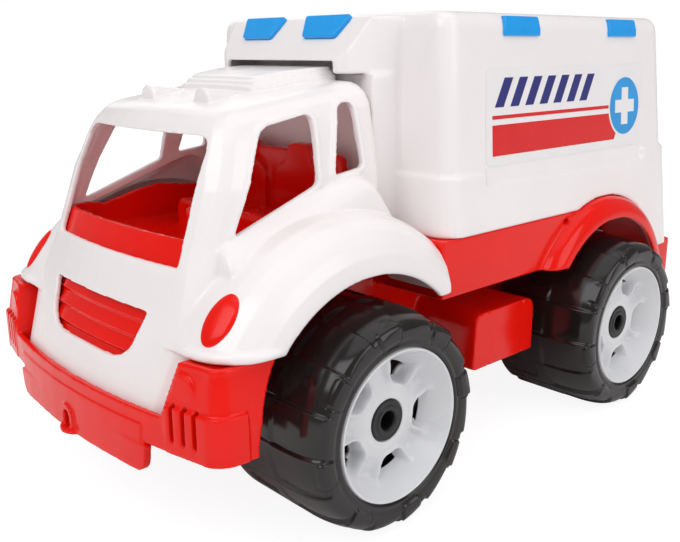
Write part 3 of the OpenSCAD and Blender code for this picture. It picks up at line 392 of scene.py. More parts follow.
nose = {
    "reach": 91.0, "chinZ": 63.0, "rake": 19.8, "bulge": 6.0, "halfWidth": 72.0, "wall": 2.6,
    # rounded lower edge of the grille opening, half width and height
    "sillX": [0.0, 22.0, 25.0, 31.0, 35.5, 38.5, 41.0, 42.5],
    "sillZ": [78.7, 78.7, 79.0, 80.6, 84.0, 88.5, 94.0, 98.0],
    "sillLowZ": 71.5,
    "sillGrid": (86, 24),
}
wing = {
    "radius": 88.0, "shoulder": (22.0, 26.0), "halfWidth": 101.0, "axleZ": 50.0, "lampAngle": 140.0,
    # skin under the lamps
    "seatX": 79.0, "seatHalf": (9.3, 14.0), "seatTurn": -14.0, "seatWall": 2.4,
    # rolled lower edge: swells at its start, tapers towards the wheel arch
    "lipZ": 92.0, "lipFrom": 64.0, "lipRadius": 2.4, "lipSink": 0.7, "lipBack": -48.5,
    "lipSwell": 6.0, "lipTaper": (3.4, 0.15), "lipSteps": 40, "lipSides": 16,
}
chin = {"sectionZ": 72.0, "lowZ": 76.0, "highZ": 91.0, "from": 50.0, "flare": 0.185}
noseLean = math.tan(math.radians(nose["rake"]))


def noseFront(x, z):
    bulge = nose["bulge"] * (x / nose["halfWidth"]) ** 2
    return (z - nose["chinZ"]) * noseLean - nose["reach"] + bulge + frontAxleY


def wingRadius(x):
    steps = np.radians(np.arange(0, 91, 15))
    high, wide = wing["shoulder"]
    across = wing["halfWidth"] - wide * (1 - np.cos(steps))
    return np.interp(-x, -across, wing["radius"] - high + high * np.sin(steps))


def wingPoint(x, t, rise):
    # x across the car, t upwards round the wing's drum from the lamps' line
    r = wingRadius(x) + rise
    turn = math.radians(wing["lampAngle"]) - t / wing["radius"]
    return np.stack([x, r * np.cos(turn) + frontAxleY, wing["axleZ"] + r * np.sin(turn)], -1)


def wallSection(z):
    # closed outlines of the cab's wall at a height
    section = bmesh.new()
    takeSolid(section, "cab_shell")
    bmesh.ops.remove_doubles(section, verts=section.verts, dist=seam)
    bmesh.ops.bisect_plane(section, geom=section.verts[:] + section.edges[:] + section.faces[:], dist=1e-7,
                           plane_co=(0, 0, z * mm), plane_no=(0, 0, 1), clear_inner=True, clear_outer=True)
    loops, left = [], dict.fromkeys(section.verts)
    while left:
        loop = [left.popitem()[0]]
        while True:
            around = [e.other_vert(loop[-1]) for e in loop[-1].link_edges]
            onward = [v for v in around if v in left]
            if not onward:
                break
            loop.append(onward[0])
            left.pop(onward[0])
        loops.append([(v.co.x / mm, v.co.y / mm) for v in loop])
    section.free()
    return loops


def chinCorners(form):
    # closes the cab's lower corners behind the bumper pods with the wall's own section
    loops = wallSection(chin["sectionZ"])
    for loop, hand in ((loop, hand) for loop in loops for hand in (1, -1)):
        kept = []
        for (x0, y0), (x1, y1) in zip(loop, loop[1:] + loop[:1]):
            a, b = hand * x0 - chin["from"], hand * x1 - chin["from"]
            if a >= 0:
                kept.append((x0, y0))
            if a * b < 0:
                share = a / (a - b)
                kept.append((x0 + (x1 - x0) * share, y0 + (y1 - y0) * share))
        n = len(kept)
        if n < 3:
            continue
        rings = []
        for z in (chin["lowZ"], chin["highZ"]):
            rise = z - chin["sectionZ"]
            out, back = hand * rise * chin["flare"], rise * noseLean
            rings.append([form.verts.new(Vector((x + out, y + back, z)) * mm) for x, y in kept])
        low, high = rings
        made = [form.faces.new(low), form.faces.new(high)]
        for i in range(n):
            k = (i + 1) % n
            made.append(form.faces.new((low[i], low[k], high[k], high[i])))
        bmesh.ops.recalc_face_normals(form, faces=made)


def wingLip():
    # rolled bead along the wing's lower front edge, round to the wheel arch
    up = wing["lipZ"] - wing["axleZ"]
    spread = np.sin(np.linspace(0, math.pi / 2, wing["lipSteps"]))
    x = wing["lipFrom"] + (wing["halfWidth"] - wing["lipFrom"]) * spread
    path = np.stack([x, -np.sqrt(wingRadius(x) ** 2 - up * up)], -1)
    side = np.linspace(path[-1, 1], wing["lipBack"], 3)[1:]
    path = np.concatenate([path, np.stack([np.full_like(side, wing["halfWidth"]), side], -1)])
    along = np.gradient(path, axis=0)
    along /= np.linalg.norm(along, axis=1, keepdims=True)
    outward = np.stack([along[:, 1], -along[:, 0]], -1)
    path = path - outward * wing["lipSink"]
    n, m = len(path), wing["lipSides"]
    swell = np.minimum(np.linspace(0, wing["lipSwell"], n), np.linspace(*wing["lipTaper"], n))
    swell = wing["lipRadius"] * np.sqrt(np.clip(swell, 0, 1))[:, None]
    ring = np.linspace(0, 2 * math.pi, m, endpoint=False)
    plan = path[:, None] + outward[:, None] * (swell * np.cos(ring))[:, :, None] + np.array([0, frontAxleY])
    z = wing["lipZ"] + swell * np.sin(ring)
    points = np.concatenate([plan, z[:, :, None]], -1).reshape(-1, 3)
    return points, gridFaces(n, m, False, True) + [tuple(range(m)), tuple(range((n - 1) * m, n * m))]


def noseFill(form):
    # rounded sill of the grille opening, rolled lips, and the wings' own skin under the lamps
    columns, rows = nose["sillGrid"]
    half = nose["sillX"][-1]
    x, share = np.meshgrid(np.linspace(-half, half, columns), np.linspace(0, 1, rows), indexing="ij")
    top = np.interp(np.abs(x), nose["sillX"], nose["sillZ"])
    z = nose["sillLowZ"] + share * (top - nose["sillLowZ"])
    y = noseFront(x, z)
    face, back = np.stack([x, y, z], -1), np.stack([x, y + nose["wall"], z], -1)
    fills = [closedSheet("grilleSill", face, back, False)]
    a, b, share = ovalGrid(*wing["seatHalf"], 72, 17)
    c, s = math.cos(math.radians(wing["seatTurn"])), math.sin(math.radians(wing["seatTurn"]))
    x, t = wing["seatX"] + a * c - b * s, a * s + b * c
    skin, back = wingPoint(x, t, 0.0), wingPoint(x, t, -wing["seatWall"])
    lip, lipFaces = wingLip()
    for hand in (1, -1):
        flip = np.array([hand, 1, 1])
        fills.append(sewNormals(newPiece("wingLip", lip * flip * mm, lipFaces), seam))
        fills.append(closedSheet("lampSeat", skin * flip, back * flip, True))
    mergeInto(form, fills)


# bumper: returns behind the corner pods' free edges, and the towing eye's shelf

pods = {
    "front": -94.5, "sweep": 10.5, "cornerX": 89.0, "cornerRadius": 12.0, "cornerTurn": 76.0, "lean": 5.0,
    "beamZ": 66.0, "topZ": 90.0, "skin": 0.4,
    # along the chin
    "webX": (68.8, 75.8), "webXHeights": (66.0, 92.0), "webZ": (60.0, 89.3), "webBack": -68.0, "webWall": 3.4,
    # below the wing
    "lidZ": (86.6, 88.9), "lidFrom": 77.5, "lidBack": -52.0, "lidDepth": 8.0,
    # shelf of the towing eye
    "shelfAt": -93.5, "shelfHalf": (7.0, 5.2), "shelfZ": (38.7, 41.2),
}


def podPath(out):
    x = np.linspace(pods["lidFrom"], pods["cornerX"], 12)
    beam = np.stack([x, pods["front"] - out + pods["sweep"] * (x / pods["cornerX"]) ** 2], -1)
    full, turn = pods["cornerRadius"], math.radians(pods["cornerTurn"])
    middle = pods["front"] + pods["sweep"] + full * math.sin(turn)
    turns, r = np.linspace(-turn, 0, 14)[1:], max(full + out, 0.1)
    corner = np.stack([pods["cornerX"] + r * np.cos(turns), middle + r * np.sin(turns)], -1)
    return np.concatenate([beam, corner, [[pods["cornerX"] + full + out, pods["lidBack"]]]])


def podFill(form):
    share, z = np.meshgrid(np.linspace(0, 1, 16), np.linspace(*pods["webZ"], 24), indexing="ij")
    x = np.interp(z, pods["webXHeights"], pods["webX"])
    leaning = pods["lean"] * np.clip((z - pods["beamZ"]) / (pods["topZ"] - pods["beamZ"]), 0, 1)
    start = pods["front"] + pods["sweep"] * (x / pods["cornerX"]) ** 2 + leaning + pods["skin"]
    y = start + share * (pods["webBack"] - start) + frontAxleY
    returns = [(np.stack([x, y, z], -1), np.stack([x + pods["webWall"], y, z], -1))]
    edge = podPath(pods["skin"] - pods["lean"])
    inner = podPath(pods["skin"] - pods["lean"] - pods["lidDepth"])
    run = np.linspace(0, 1, 8)[None, :, None]
    plan = edge[:, None] * (1 - run) + inner[:, None] * run + np.array([0, frontAxleY])
    returns.append([np.concatenate([plan, np.full(plan.shape[:2] + (1,), z)], -1) for z in pods["lidZ"]])
    a, b, share = ovalGrid(*pods["shelfHalf"], 72, 17)
    b = b + pods["shelfAt"] + frontAxleY
    low, high = (np.stack([a, b, np.full_like(a, z)], -1) for z in pods["shelfZ"])
    fills = [closedSheet("eyeShelf", low, high, True)]
    for hand in (1, -1):
        flip = np.array([hand, 1, 1])
        fills += [closedSheet("podReturn", outer * flip, back * flip, False) for outer, back in returns]
    mergeInto(form, fills)


# openings and ends that are eased along the moulded forms

screen = {
    "lowZ": 122.5, "highZ": 171.5, "lowHalf": 51.0, "highHalf": 48.5,
    "drop": 3.0, "dropReach": 9.0, "dropFade": (66.0, 58.0),                   # sill, fading out sideways
    "widen": 2.4, "widenReach": 7.0, "footFade": (112.0, 120.0), "headFade": (178.0, 166.0),
    "skin": 9.0,                                                               # counted as the nose
}
valance = {"fade": (30.0, 50.0), "topFade": (52.5, 50.5), "widen": 4.0}


def screenEdge(x, y, z):
    # the windscreen opening's sill and sides, eased outwards along the nose
    onNose = np.abs(y - noseFront(x, z)) < screen["skin"]
    side = np.interp(z, (screen["lowZ"], screen["highZ"]), (screen["lowHalf"], screen["highHalf"]))
    down = screen["drop"] * bell((z - screen["lowZ"]) / screen["dropReach"])
    down *= ramp(np.abs(x), *screen["dropFade"])
    out = screen["widen"] * bell((np.abs(x) - side) / screen["widenReach"])
    out *= ramp(z, *screen["footFade"]) * ramp(z, *screen["headFade"])
    newX, newZ = x + np.sign(x) * out * onNose, z - down * onNose
    return newX, y + noseFront(newX, newZ) - noseFront(x, z), newZ


def valanceEnds(x, y, z):
    reach = ramp(np.abs(x), *valance["fade"]) * ramp(z, *valance["topFade"])
    return x + np.sign(x) * valance["widen"] * reach, y, z


def easeForm(mesh, ease):
    places = np.empty(len(mesh.vertices) * 3)
    mesh.vertices.foreach_get("co", places)
    moved = np.stack(ease(*(places.reshape(-1, 3) / mm).T), -1) * mm
    mesh.vertices.foreach_set("co", moved.ravel())
    mesh.update()


# moulded shells: the solids' own forms with the soft edges of a moulding

mouldings = {
    # name: solids, body, slot, voxel in mm, smoothing passes, most triangles
    "cabMoulding": (["cab_shell"], "vehicle", "white_moulding", 0.65, 8, 180000),
    "boxMoulding": (["box_body", "roof_fairing"], "vehicle", "white_moulding", 0.9, 6, 180000),
    "chassisMoulding": (["chassis"], "vehicle", "red_moulding", 1.0, 3, 150000),
    "bumperMoulding": (["front_bumper"], "vehicle", "red_moulding", 0.6, 4, 120000),
    "tubMoulding": (["seat_tub"], "vehicle", "red_moulding", 1.0, 4, 90000),
    "doorMoulding": (["rear_door"], "rear_door", "red_moulding", 0.8, 4, 80000),
    "beaconLens_left": (["beacon_left"], "vehicle", "blue_moulding", 0.35, 6, 12000),
    "beaconLens_right": (["beacon_right"], "vehicle", "blue_moulding", 0.35, 6, 12000),
}
for place in wheelPlaces:
    sideLamp = ["side_lamp_%s_%s" % place]
    mouldings["sideLens_%s_%s" % place] = (sideLamp, "vehicle", "blue_moulding", 0.35, 3, 10000)
shells = {
    "roughVoxelMm": 2.0,
    "roughTimes": 2.5,
    "softness": 0.5,
    "fills": {"cabMoulding": (chinCorners, noseFill), "bumperMoulding": (podFill,)},
    "eased": {"cabMoulding": screenEdge, "bumperMoulding": valanceEnds},
}


def thinOut(piece, ratio):
    # fewer triangles, shaded as the dense form was
    dense = bpy.data.objects.new(piece.name + "Dense", piece.data.copy())
    scene.collection.objects.link(dense)
    thin = piece.modifiers.new("thin", "DECIMATE")
    thin.ratio = ratio
    shade = piece.modifiers.new("shade", "DATA_TRANSFER")
    shade.object = dense
    shade.use_loop_data = True
    shade.data_types_loops = {"CUSTOM_NORMAL"}
    shade.loop_mapping = "POLYINTERP_NEAREST"
    plainMesh(piece)
    bpy.data.objects.remove(dense)


def mouldedShell(name, cadNames, voxelMm, passes, mostTriangles):
    form = bmesh.new()
    for cadName in cadNames:
        takeSolid(form, cadName)
    bmesh.ops.remove_doubles(form, verts=form.verts, dist=seam)
    for fill in shells["fills"].get(name, ()):
        fill(form)
    piece = pieceFrom(form, name)
    remesh = piece.modifiers.new("skin", "REMESH")
    remesh.mode = "VOXEL"
    remesh.voxel_size = voxelMm * mm
    remesh.use_smooth_shade = True
    soften = piece.modifiers.new("soften", "SMOOTH")
    soften.factor = shells["softness"]
    soften.iterations = passes
    plainMesh(piece)
    if name in shells["eased"]:
        easeForm(piece.data, shells["eased"][name])
    count = triangleCount(piece.data)
    if count > mostTriangles:
        thinOut(piece, mostTriangles / count)
    print(name, "moulded:", count, "to", triangleCount(piece.data), "triangles")
    return piece


def makeMouldings():
    for name, (solids, body, slotName, voxelMm, passes, most) in mouldings.items():
        handOver(mouldedShell(name, solids, voxelMm, passes, most), body, slotName, solids)


makeMouldings()


# grille of three soft louvres behind the nose, and the oval lamps on the wings

louvres = {
    "halfWidth": 52.0,
    "lowZ": 73.0,
    "highZ": 103.5,
    "firstZ": 100.5,
    "pitch": 6.9,
    "lap": 0.68,           # share of the pitch that leans forward
    "setBack": 2.75,       # from the nose's outer face
    "depth": 1.7,
    "margin": 40.0,        # plain strips at both ends
    "marginSoft": 3.0,
    "marginDepth": 1.2,    # times the louvres' depth
    "plate": 1.8,
    "grid": (121, 123),
}
lamp = {
    "atX": 83.0, "atT": -1.0, "half": (6.2, 11.75),
    "dome": 1.1, "roundness": 2.2, "edge": 0.3, "root": 1.6,
    "grid": (96, 25),
}


def makeGrille():
    columns, rows = louvres["grid"]
    half, lap = louvres["halfWidth"], louvres["lap"]
    x, z = np.meshgrid(np.linspace(-half, half, columns),
                       np.linspace(louvres["lowZ"], louvres["highZ"], rows), indexing="ij")
    share = ((louvres["firstZ"] - z) / louvres["pitch"]) % 1.0
    wave = np.where(share < lap, 1 - share / lap, ramp(share, lap, 1.0))
    ends = inside(louvres["margin"] - np.abs(x), louvres["marginSoft"])
    deepest = louvres["depth"] * louvres["marginDepth"]
    base = noseFront(x, z) + louvres["setBack"]
    face = base + louvres["depth"] * wave * (1 - ends) + deepest * ends
    back = base + deepest + louvres["plate"]
    piece = closedSheet("grilleMoulding", np.stack([x, face, z], -1), np.stack([x, back, z], -1), False)
    handOver(piece, "vehicle", "red_moulding", ["grille_insert"])
    print("grille made")


def makeLamps():
    a, b, share = ovalGrid(*lamp["half"], *lamp["grid"])
    x, t = lamp["atX"] + a, lamp["atT"] + b
    dome = wingPoint(x, t, lamp["edge"] + lamp["dome"] * np.sqrt(1 - share ** lamp["roundness"]))
    root = wingPoint(x, t, -lamp["root"])
    for side, hand in (("left", 1), ("right", -1)):
        flip = np.array([hand, 1, 1])
        piece = closedSheet("headlampLens_" + side, dome * flip, root * flip, True)
        handOver(piece, "vehicle", "red_moulding", ["headlamp_" + side])
    print("lamps made")


makeGrille()
makeLamps()


# tyres: one tread segment of two lugs, repeated round the axle

tyre = {
    "radius": 50.0,
    "inner": 56.0,
    "outer": 118.0,
    "beadRadius": 34.7,
    "innerCorner": 4.0,
    "shoulderStart": 98.0,
    "shoulderDrop": 5.5,
    # from each end inwards, and over the bead
    "innerSide": [(3.0, 0.0), (0.6, 0.8), (0.0, 3.0), (0.0, 7.3)],
    "outerSide": [(0.0, 7.3), (0.1, 4.7), (0.6, 3.7), (0.6, 2.7), (0.2, 1.9), (0.4, 0.9), (1.4, 0.2),
                  (3.0, 0.0)],
    "profileStep": 0.75,
    "lining": (5.0, 14),          # inset from both ends, points
    "lugs": 16,
    "toothRise": 1.2,
    "toothTop": 0.93,             # share of the pitch, then it falls
    "tab": (13.0, 9.5, 0.6),      # round the tyre, down the side, height
    "tabAt": 1.55,                # lugs from the segment's start
    "tabCorner": 2.2,
    "tabGroove": 0.45,
    "lineWidth": 0.8,
    "lineDepth": 0.7,
    "lineStart": 8,               # point of the profile
    "pocket": (17.0, 8.5, 0.8),   # along the axle, round the tyre, depth
    "pocketPlaces": (13.0, 29.0), # inwards from the shoulder
    "pocketCorner": 3.0,
    "stepsPerSegment": 88,
}


def tyreProfile():
    r, x0, x1, bead = tyre["radius"], tyre["inner"], tyre["outer"], tyre["beadRadius"]
    c, s, drop = tyre["innerCorner"], tyre["shoulderStart"], tyre["shoulderDrop"]
    points = [(x0 + x, bead + up) for x, up in tyre["innerSide"]]
    for a in np.radians(np.arange(90, -1, -15)):
        points.append((x0 + c - c * math.sin(a), r - c + c * math.cos(a)))
    for a in np.radians(np.arange(0, 91, 6)):
        points.append((s + (x1 - s) * math.sin(a), r - drop * (1 - math.cos(a))))
    points += [(x1 - x, bead + up) for x, up in tyre["outerSide"]]
    fine = [points[0]]
    for a, b in zip(points, points[1:]):
        n = max(1, int(math.dist(a, b) / tyre["profileStep"]))
        fine += [(a[0] + (b[0] - a[0]) * i / n, a[1] + (b[1] - a[1]) * i / n) for i in range(1, n + 1)]
    inset, count = tyre["lining"]
    return np.array(fine + [(x, bead) for x in np.linspace(x1 - inset, x0 + inset, count)])


def treadRelief(a, t, run, shoulderRun, sideStart, pitch):
    rise = np.zeros_like(a)
    # saw teeth over the shoulder, parted by fine lines
    shoulder = inside(-(t - shoulderRun - 2.0), 3.0) * inside(t - sideStart - 0.5, 3.0)
    tooth, top = (a / pitch) % 1.0, tyre["toothTop"]
    tooth = np.where(tooth > top, (1 - tooth) / (1 - top), tooth / top)
    rise -= tyre["toothRise"] * shoulder * (1 - tooth)
    # raised tab down the side of every second tooth, in a fine groove
    length, drop, height = tyre["tab"]
    tab = roundedBox(a - tyre["tabAt"] * pitch, t - sideStart - 1.0, length / 2, drop / 2, tyre["tabCorner"])
    rise += height * inside(tab, 0.7) - tyre["tabGroove"] * inside(np.abs(tab - 0.75) - 0.35, 0.5)
    # cross lines and shallow rounded pockets of the tread
    lineZone = inside(run[tyre["lineStart"]] - t, 2.0) * inside(t - shoulderRun - 1.0, 2.0)
    for k in range(3):
        line = np.abs(a - k * pitch) - tyre["lineWidth"] / 2
        rise -= tyre["lineDepth"] * lineZone * inside(line, 0.6)
    length, width, depth = tyre["pocket"]
    for k, place in enumerate(tyre["pocketPlaces"]):
        hollow = roundedBox(a - (k + 0.5) * pitch, t - shoulderRun + place,
                            width / 2, length / 2, tyre["pocketCorner"])
        rise -= depth * inside(hollow, 1.0)
    return rise


def treadSegment():
    profile = tyreProfile()
    run = np.concatenate([[0], np.cumsum(np.hypot(*np.diff(profile, axis=0).T))])
    slope = np.gradient(profile, axis=0)
    normal = np.stack([slope[:, 1], -slope[:, 0]], 1)
    normal /= np.linalg.norm(normal, axis=1, keepdims=True)
    if normal[len(normal) // 2, 1] < 0:
        normal *= -1
    pitch = 2 * math.pi * tyre["radius"] / tyre["lugs"]
    n, m = tyre["stepsPerSegment"], len(profile)
    angle = np.linspace(0, 4 * math.pi / tyre["lugs"], n + 1)
    outwards = 60                 # the profile's first points, along which x only grows
    shoulderRun = np.interp(tyre["shoulderStart"] - 3, profile[:outwards, 0], run[:outwards])
    sideStart = run[np.argmax(profile[:, 0] > tyre["outer"] - 0.02)]
    a, t = np.meshgrid(angle * tyre["radius"], run, indexing="ij")
    rise = treadRelief(a, t, run, shoulderRun, sideStart, pitch)
    x = profile[:, 0][None, :] + rise * normal[:, 0][None, :]
    r = profile[:, 1][None, :] + rise * normal[:, 1][None, :]
    points = np.stack([x, r * np.sin(angle)[:, None], r * np.cos(angle)[:, None]], -1).reshape(-1, 3) * mm
    return newPiece("treadSegment", points, gridFaces(n + 1, m, False, True))


def ringTree(name, material):
    tree = bpy.data.node_groups.new(name, "GeometryNodeTree")
    tree.interface.new_socket("Segment", in_out="INPUT", socket_type="NodeSocketGeometry")
    tree.interface.new_socket("Count", in_out="INPUT", socket_type="NodeSocketInt").default_value = 8
    tree.interface.new_socket("Seam", in_out="INPUT", socket_type="NodeSocketFloat").default_value = 1e-5
    tree.interface.new_socket("Ring", in_out="OUTPUT", socket_type="NodeSocketGeometry")
    given = addNode(tree, "NodeGroupInput")
    line = addNode(tree, "GeometryNodeMeshLine", {"Offset": (0, 0, 0)}, {"Count": (given, "Count")})
    index = addNode(tree, "GeometryNodeInputIndex")
    step = addNode(tree, "ShaderNodeMath", {0: 2 * math.pi}, {1: (given, "Count")}, operation="DIVIDE")
    turn = addNode(tree, "ShaderNodeMath", links={0: (index, 0), 1: (step, 0)}, operation="MULTIPLY")
    spin = addNode(tree, "ShaderNodeCombineXYZ", links={"X": (turn, 0)})
    copies = addNode(tree, "GeometryNodeInstanceOnPoints",
                     links={"Points": (line, 0), "Instance": (given, "Segment"), "Rotation": (spin, 0)})
    real = addNode(tree, "GeometryNodeRealizeInstances", links={0: (copies, 0)})
    sewn = addNode(tree, "GeometryNodeMergeByDistance",
                   links={"Geometry": (real, 0), "Distance": (given, "Seam")})
    paint = addNode(tree, "GeometryNodeSetMaterial", {"Material": material}, {"Geometry": (sewn, 0)})
    addNode(tree, "NodeGroupOutput", links={0: (paint, 0)})
    return tree


def ringOf(piece, tree, count):
    ring = piece.modifiers.new("ring", "NODES")
    ring.node_group = tree
    for item in tree.interface.items_tree:
        if item.name == "Count":
            ring[item.identifier] = count
    return plainMesh(piece)


def wheelPieces(source, name):
    # one copy at each wheel's place, mirrored on the right
    for axle, side in wheelPlaces:
        piece = bpy.data.objects.new("%s_%s_%s" % (name, axle, side), source.data.copy())
        scene.collection.objects.link(piece)
        flip = Matrix.Diagonal((1 if side == "left" else -1, 1, 1, 1))
        y = (frontAxleY if axle == "front" else -frontAxleY) * mm
        piece.data.transform(Matrix.Translation((0, y, tyre["radius"] * mm)) @ flip)
        if side == "right":
            piece.data.flip_normals()
        yield piece, "%s_%s" % (axle, side)
    bpy.data.objects.remove(source)


def makeTyres():
    tree = ringTree("treadRing", finish["polyethyleneTyre"])
    ring = sewNormals(ringOf(treadSegment(), tree, tyre["lugs"] // 2))
    print("tyres made:", triangleCount(ring.data), "triangles each")
    for piece, place in wheelPieces(ring, "tyreMoulding"):
        handOver(piece, "wheel_" + place, "tyre_moulding", ["tyre_" + place])


makeTyres()


# moulded rims: a bowl with a five-armed centre plate, and a turned lip and hub

rim = {
    "faceX": 118.0,
    "faceRadii": (9.85, 33.9),
    "windows": 5,
    "firstWindow": -79.0,                 # degrees from the rear, upwards
    "windowHalf": (5.2, 18.5, 0.36),      # half width, at this radius, growing outwards
    "pocket": (27.5, 6.0, 10.0, 3.2),     # radius of its middle, halves across and along, corner
    "pocketSoft": 1.9,
    "hole": (18.6, 26.2),
    "fold": (0.7, 26.0, 2.4, 1.2),        # at the foot of each arm: depth, radius, length, width
    "armRadii": [9.85, 13.0, 17.0, 21.0, 25.0, 27.0, 29.0, 31.5, 33.2, 34.0],
    "armDepths": [9.0, 9.0, 10.2, 12.0, 13.0, 12.2, 9.0, 4.2, 1.0, 0.4],
    "bowlRadii": [9.85, 14.0, 17.0, 20.0, 24.0, 26.5, 29.0, 31.5, 33.2, 34.0],
    "bowlDepths": [9.0, 9.6, 16.6, 17.4, 16.2, 13.6, 9.0, 4.2, 1.0, 0.4],
    "browRadii": [12.0, 15.0, 18.0, 22.0, 25.0, 27.5, 30.0],
    "browHeights": [0.0, 0.6, 1.6, 3.2, 3.8, 2.4, 0.0],
    "browRidge": (1.0, 0.4, 1.2),         # from the pocket's edge, half of its flat top, fall
    "lip": [(116.6, 33.0), (117.6, 33.4), (117.95, 33.8), (117.95, 34.1), (117.6, 34.45), (99.0, 34.45),
            (99.0, 32.6), (110.0, 32.2)],
    "hub": [(108.9, 9.85), (108.9, 12.4), (108.3, 13.0), (48.5, 13.0), (48.5, 6.56), (101.6, 6.56),
            (101.6, 9.85)],
    "wallMm": 1.9,
    "rings": 64,
    "rays": 250,
    "turnedRays": 128,
}


def lathe(name, profile, rays):
    turns = np.linspace(0, 2 * math.pi, rays, endpoint=False)
    points = np.array([(x, r * math.cos(t), r * math.sin(t)) for t in turns for x, r in profile])
    return newPiece(name, points * mm, gridFaces(rays, len(profile), True, True))


def rimFace():
    n, m = rim["rays"], rim["rings"]
    turns = np.linspace(0, 2 * math.pi, n, endpoint=False)
    t, r = np.meshgrid(turns, np.linspace(*rim["faceRadii"], m), indexing="ij")
    pitch = 2 * math.pi / rim["windows"]
    off = (t - math.radians(rim["firstWindow"]) + pitch / 2) % pitch - pitch / 2
    width, atRadius, growth = rim["windowHalf"]
    half = width + (r - atRadius) * growth
    middle, across, along, corner = rim["pocket"]
    pocket = roundedBox(r * np.sin(off) * across / half, r - middle, across, along, corner)
    # arms sink towards the bowl's wall; a raised brow runs round each pocket
    brow = np.interp(r, rim["browRadii"], rim["browHeights"])
    ridge, flat, fall = rim["browRidge"]
    brow *= np.exp(-(np.maximum(np.abs(pocket - ridge) - flat, 0) / fall) ** 2)
    top = np.interp(r, rim["armRadii"], rim["armDepths"]) - brow
    bowl = np.maximum(np.interp(r, rim["bowlRadii"], rim["bowlDepths"]), top)
    depth = top + (bowl - top) * inside(pocket, rim["pocketSoft"])
    arm = (off + pitch) % pitch - pitch / 2
    fold, atRadius, length, width = rim["fold"]
    depth += fold * np.exp(-((r - atRadius) / length) ** 2 - (r * np.sin(arm) / width) ** 2)
    points = np.stack([rim["faceX"] - depth, r * np.cos(t), r * np.sin(t)], -1).reshape(-1, 3) * mm
    low, high = rim["hole"]
    hole = ((pocket < -1.0) & (r < high) & (r > low)).ravel()
    faces = [f for f in gridFaces(n, m, True, False) if not all(hole[k] for k in f)]
    piece = newPiece("rimFace", points, faces)
    thick = piece.modifiers.new("wall", "SOLIDIFY")
    thick.thickness = rim["wallMm"] * mm
    thick.offset = 1.0
    return plainMesh(piece)


def makeRims():
    form = bmesh.new()
    mergeInto(form, [rimFace()] + [lathe("rim_" + k, rim[k], rim["turnedRays"]) for k in ("lip", "hub")])
    whole = sewNormals(pieceFrom(form, "rimWhole"))
    print("rims made:", triangleCount(whole.data), "triangles each")
    for piece, place in wheelPieces(whole, "rimMoulding"):
        handOver(piece, "wheel_" + place, "rim_moulding", ["rim_" + place])


makeRims()


# axle caps with their stepped faces

cap = {
    "profile": [(102.0, 6.53), (102.0, 9.3), (108.6, 9.5), (109.4, 9.25), (109.7, 8.7), (109.5, 8.2),
                (109.5, 6.9), (109.9, 6.6), (110.0, 5.2), (109.7, 4.6), (109.0, 4.25), (107.2, 4.2),
                (107.2, 6.53)],
    "rounding": 0.3,
    "rays": 96,
}


def rounded(profile, reach):
    soft = []
    n = len(profile)
    for i, p in enumerate(profile):
        p, a, b = Vector(p), Vector(profile[i - 1]), Vector(profile[(i + 1) % n])
        first = p + (a - p).normalized() * min(reach, (a - p).length * 0.4)
        last = p + (b - p).normalized() * min(reach, (b - p).length * 0.4)
        soft += [tuple(first * (1 - t) ** 2 + p * 2 * t * (1 - t) + last * t * t) for t in (0, 0.5, 1)]
    return soft


def makeCaps():
    whole = sewNormals(lathe("capWhole", rounded(cap["profile"], cap["rounding"]), cap["rays"]))
    for piece, place in wheelPieces(whole, "capMoulding"):
        handOver(piece, "vehicle", "black_moulding", ["cap_" + place])
    print("caps made")


makeCaps()


# printed labels: plain bars, a band and a roundel laid on the vinyl sheet

label = {
    "footX": 93.4, "footZ": 118.0, "lean": 0.06,     # the sheet's face
    "under": 0.05,                                   # inks reach this far into it
    "band": [(91, 154.5), (205, 154.5), (213, 169.5), (91, 169.5)],
    "stripe": [(91, 172.3), (214.4, 172.3), (215.3, 174.1), (91, 174.1)],
    "bar": [(93, 178.0), (100, 178.0), (108, 192.0), (101, 192.0)],
    "bars": (7, 12.5),                               # count, pitch
    "roundelAt": (216, 173), "ringRadius": 17.6, "discRadius": 16.2,
    "plus": (10.5, 3.6),                             # arm, half width
}


def disc(radius, n=56):
    y, z = label["roundelAt"]
    turns = [2 * math.pi * i / n for i in range(n)]
    return [(y + radius * math.cos(t), z + radius * math.sin(t)) for t in turns]


def plusSign():
    (y, z), (arm, half) = label["roundelAt"], label["plus"]
    corners = [(-half, arm), (-half, half), (-arm, half), (-arm, -half), (-half, -half), (-half, -arm),
               (half, -arm), (half, -half), (arm, -half), (arm, half), (half, half), (half, arm)]
    return [(y + u, z + w) for u, w in corners]


barCount, barPitch = label["bars"]
labelArt = [
    # ink, height over the sheet in mm, outlines
    ("screenInkRed", 0.1, [label["band"], label["stripe"]]),
    ("screenInkNavy", 0.1, [[(y + barPitch * k, z) for y, z in label["bar"]] for k in range(barCount)]),
    ("vinylWhite", 0.16, [disc(label["ringRadius"])]),
    ("screenInkAzure", 0.22, [disc(label["discRadius"])]),
    ("vinylWhite", 0.28, [plusSign()]),
]


def printSheet(name, rise, outlines, hand):
    points, faces = [], []
    for outline in outlines:
        n, start = len(outline), len(points)
        for level in (-label["under"], rise):
            for y, z in outline:
                x = label["footX"] - (z - label["footZ"]) * label["lean"] + level
                points.append((hand * x * mm, (y + frontAxleY) * mm, z * mm))
        faces += [tuple(range(start, start + n)), tuple(range(start + n, start + 2 * n))]
        faces += [tuple(start + k for k in cell) for cell in gridFaces(2, n, False, True)]
    return sewNormals(newPiece(name, points, faces))


def makeLabels():
    for side, hand in (("left", 1), ("right", -1)):
        for ink, rise, outlines in labelArt:
            piece = printSheet("%s_%s_%d" % (ink, side, round(rise * 100)), rise, outlines, hand)
            handOver(piece, "vehicle", "printed_label", finishName=ink)
            piece.data.shade_flat()
    print("labels printed")


makeLabels()


# pan-head screws with a cross recess, set on points

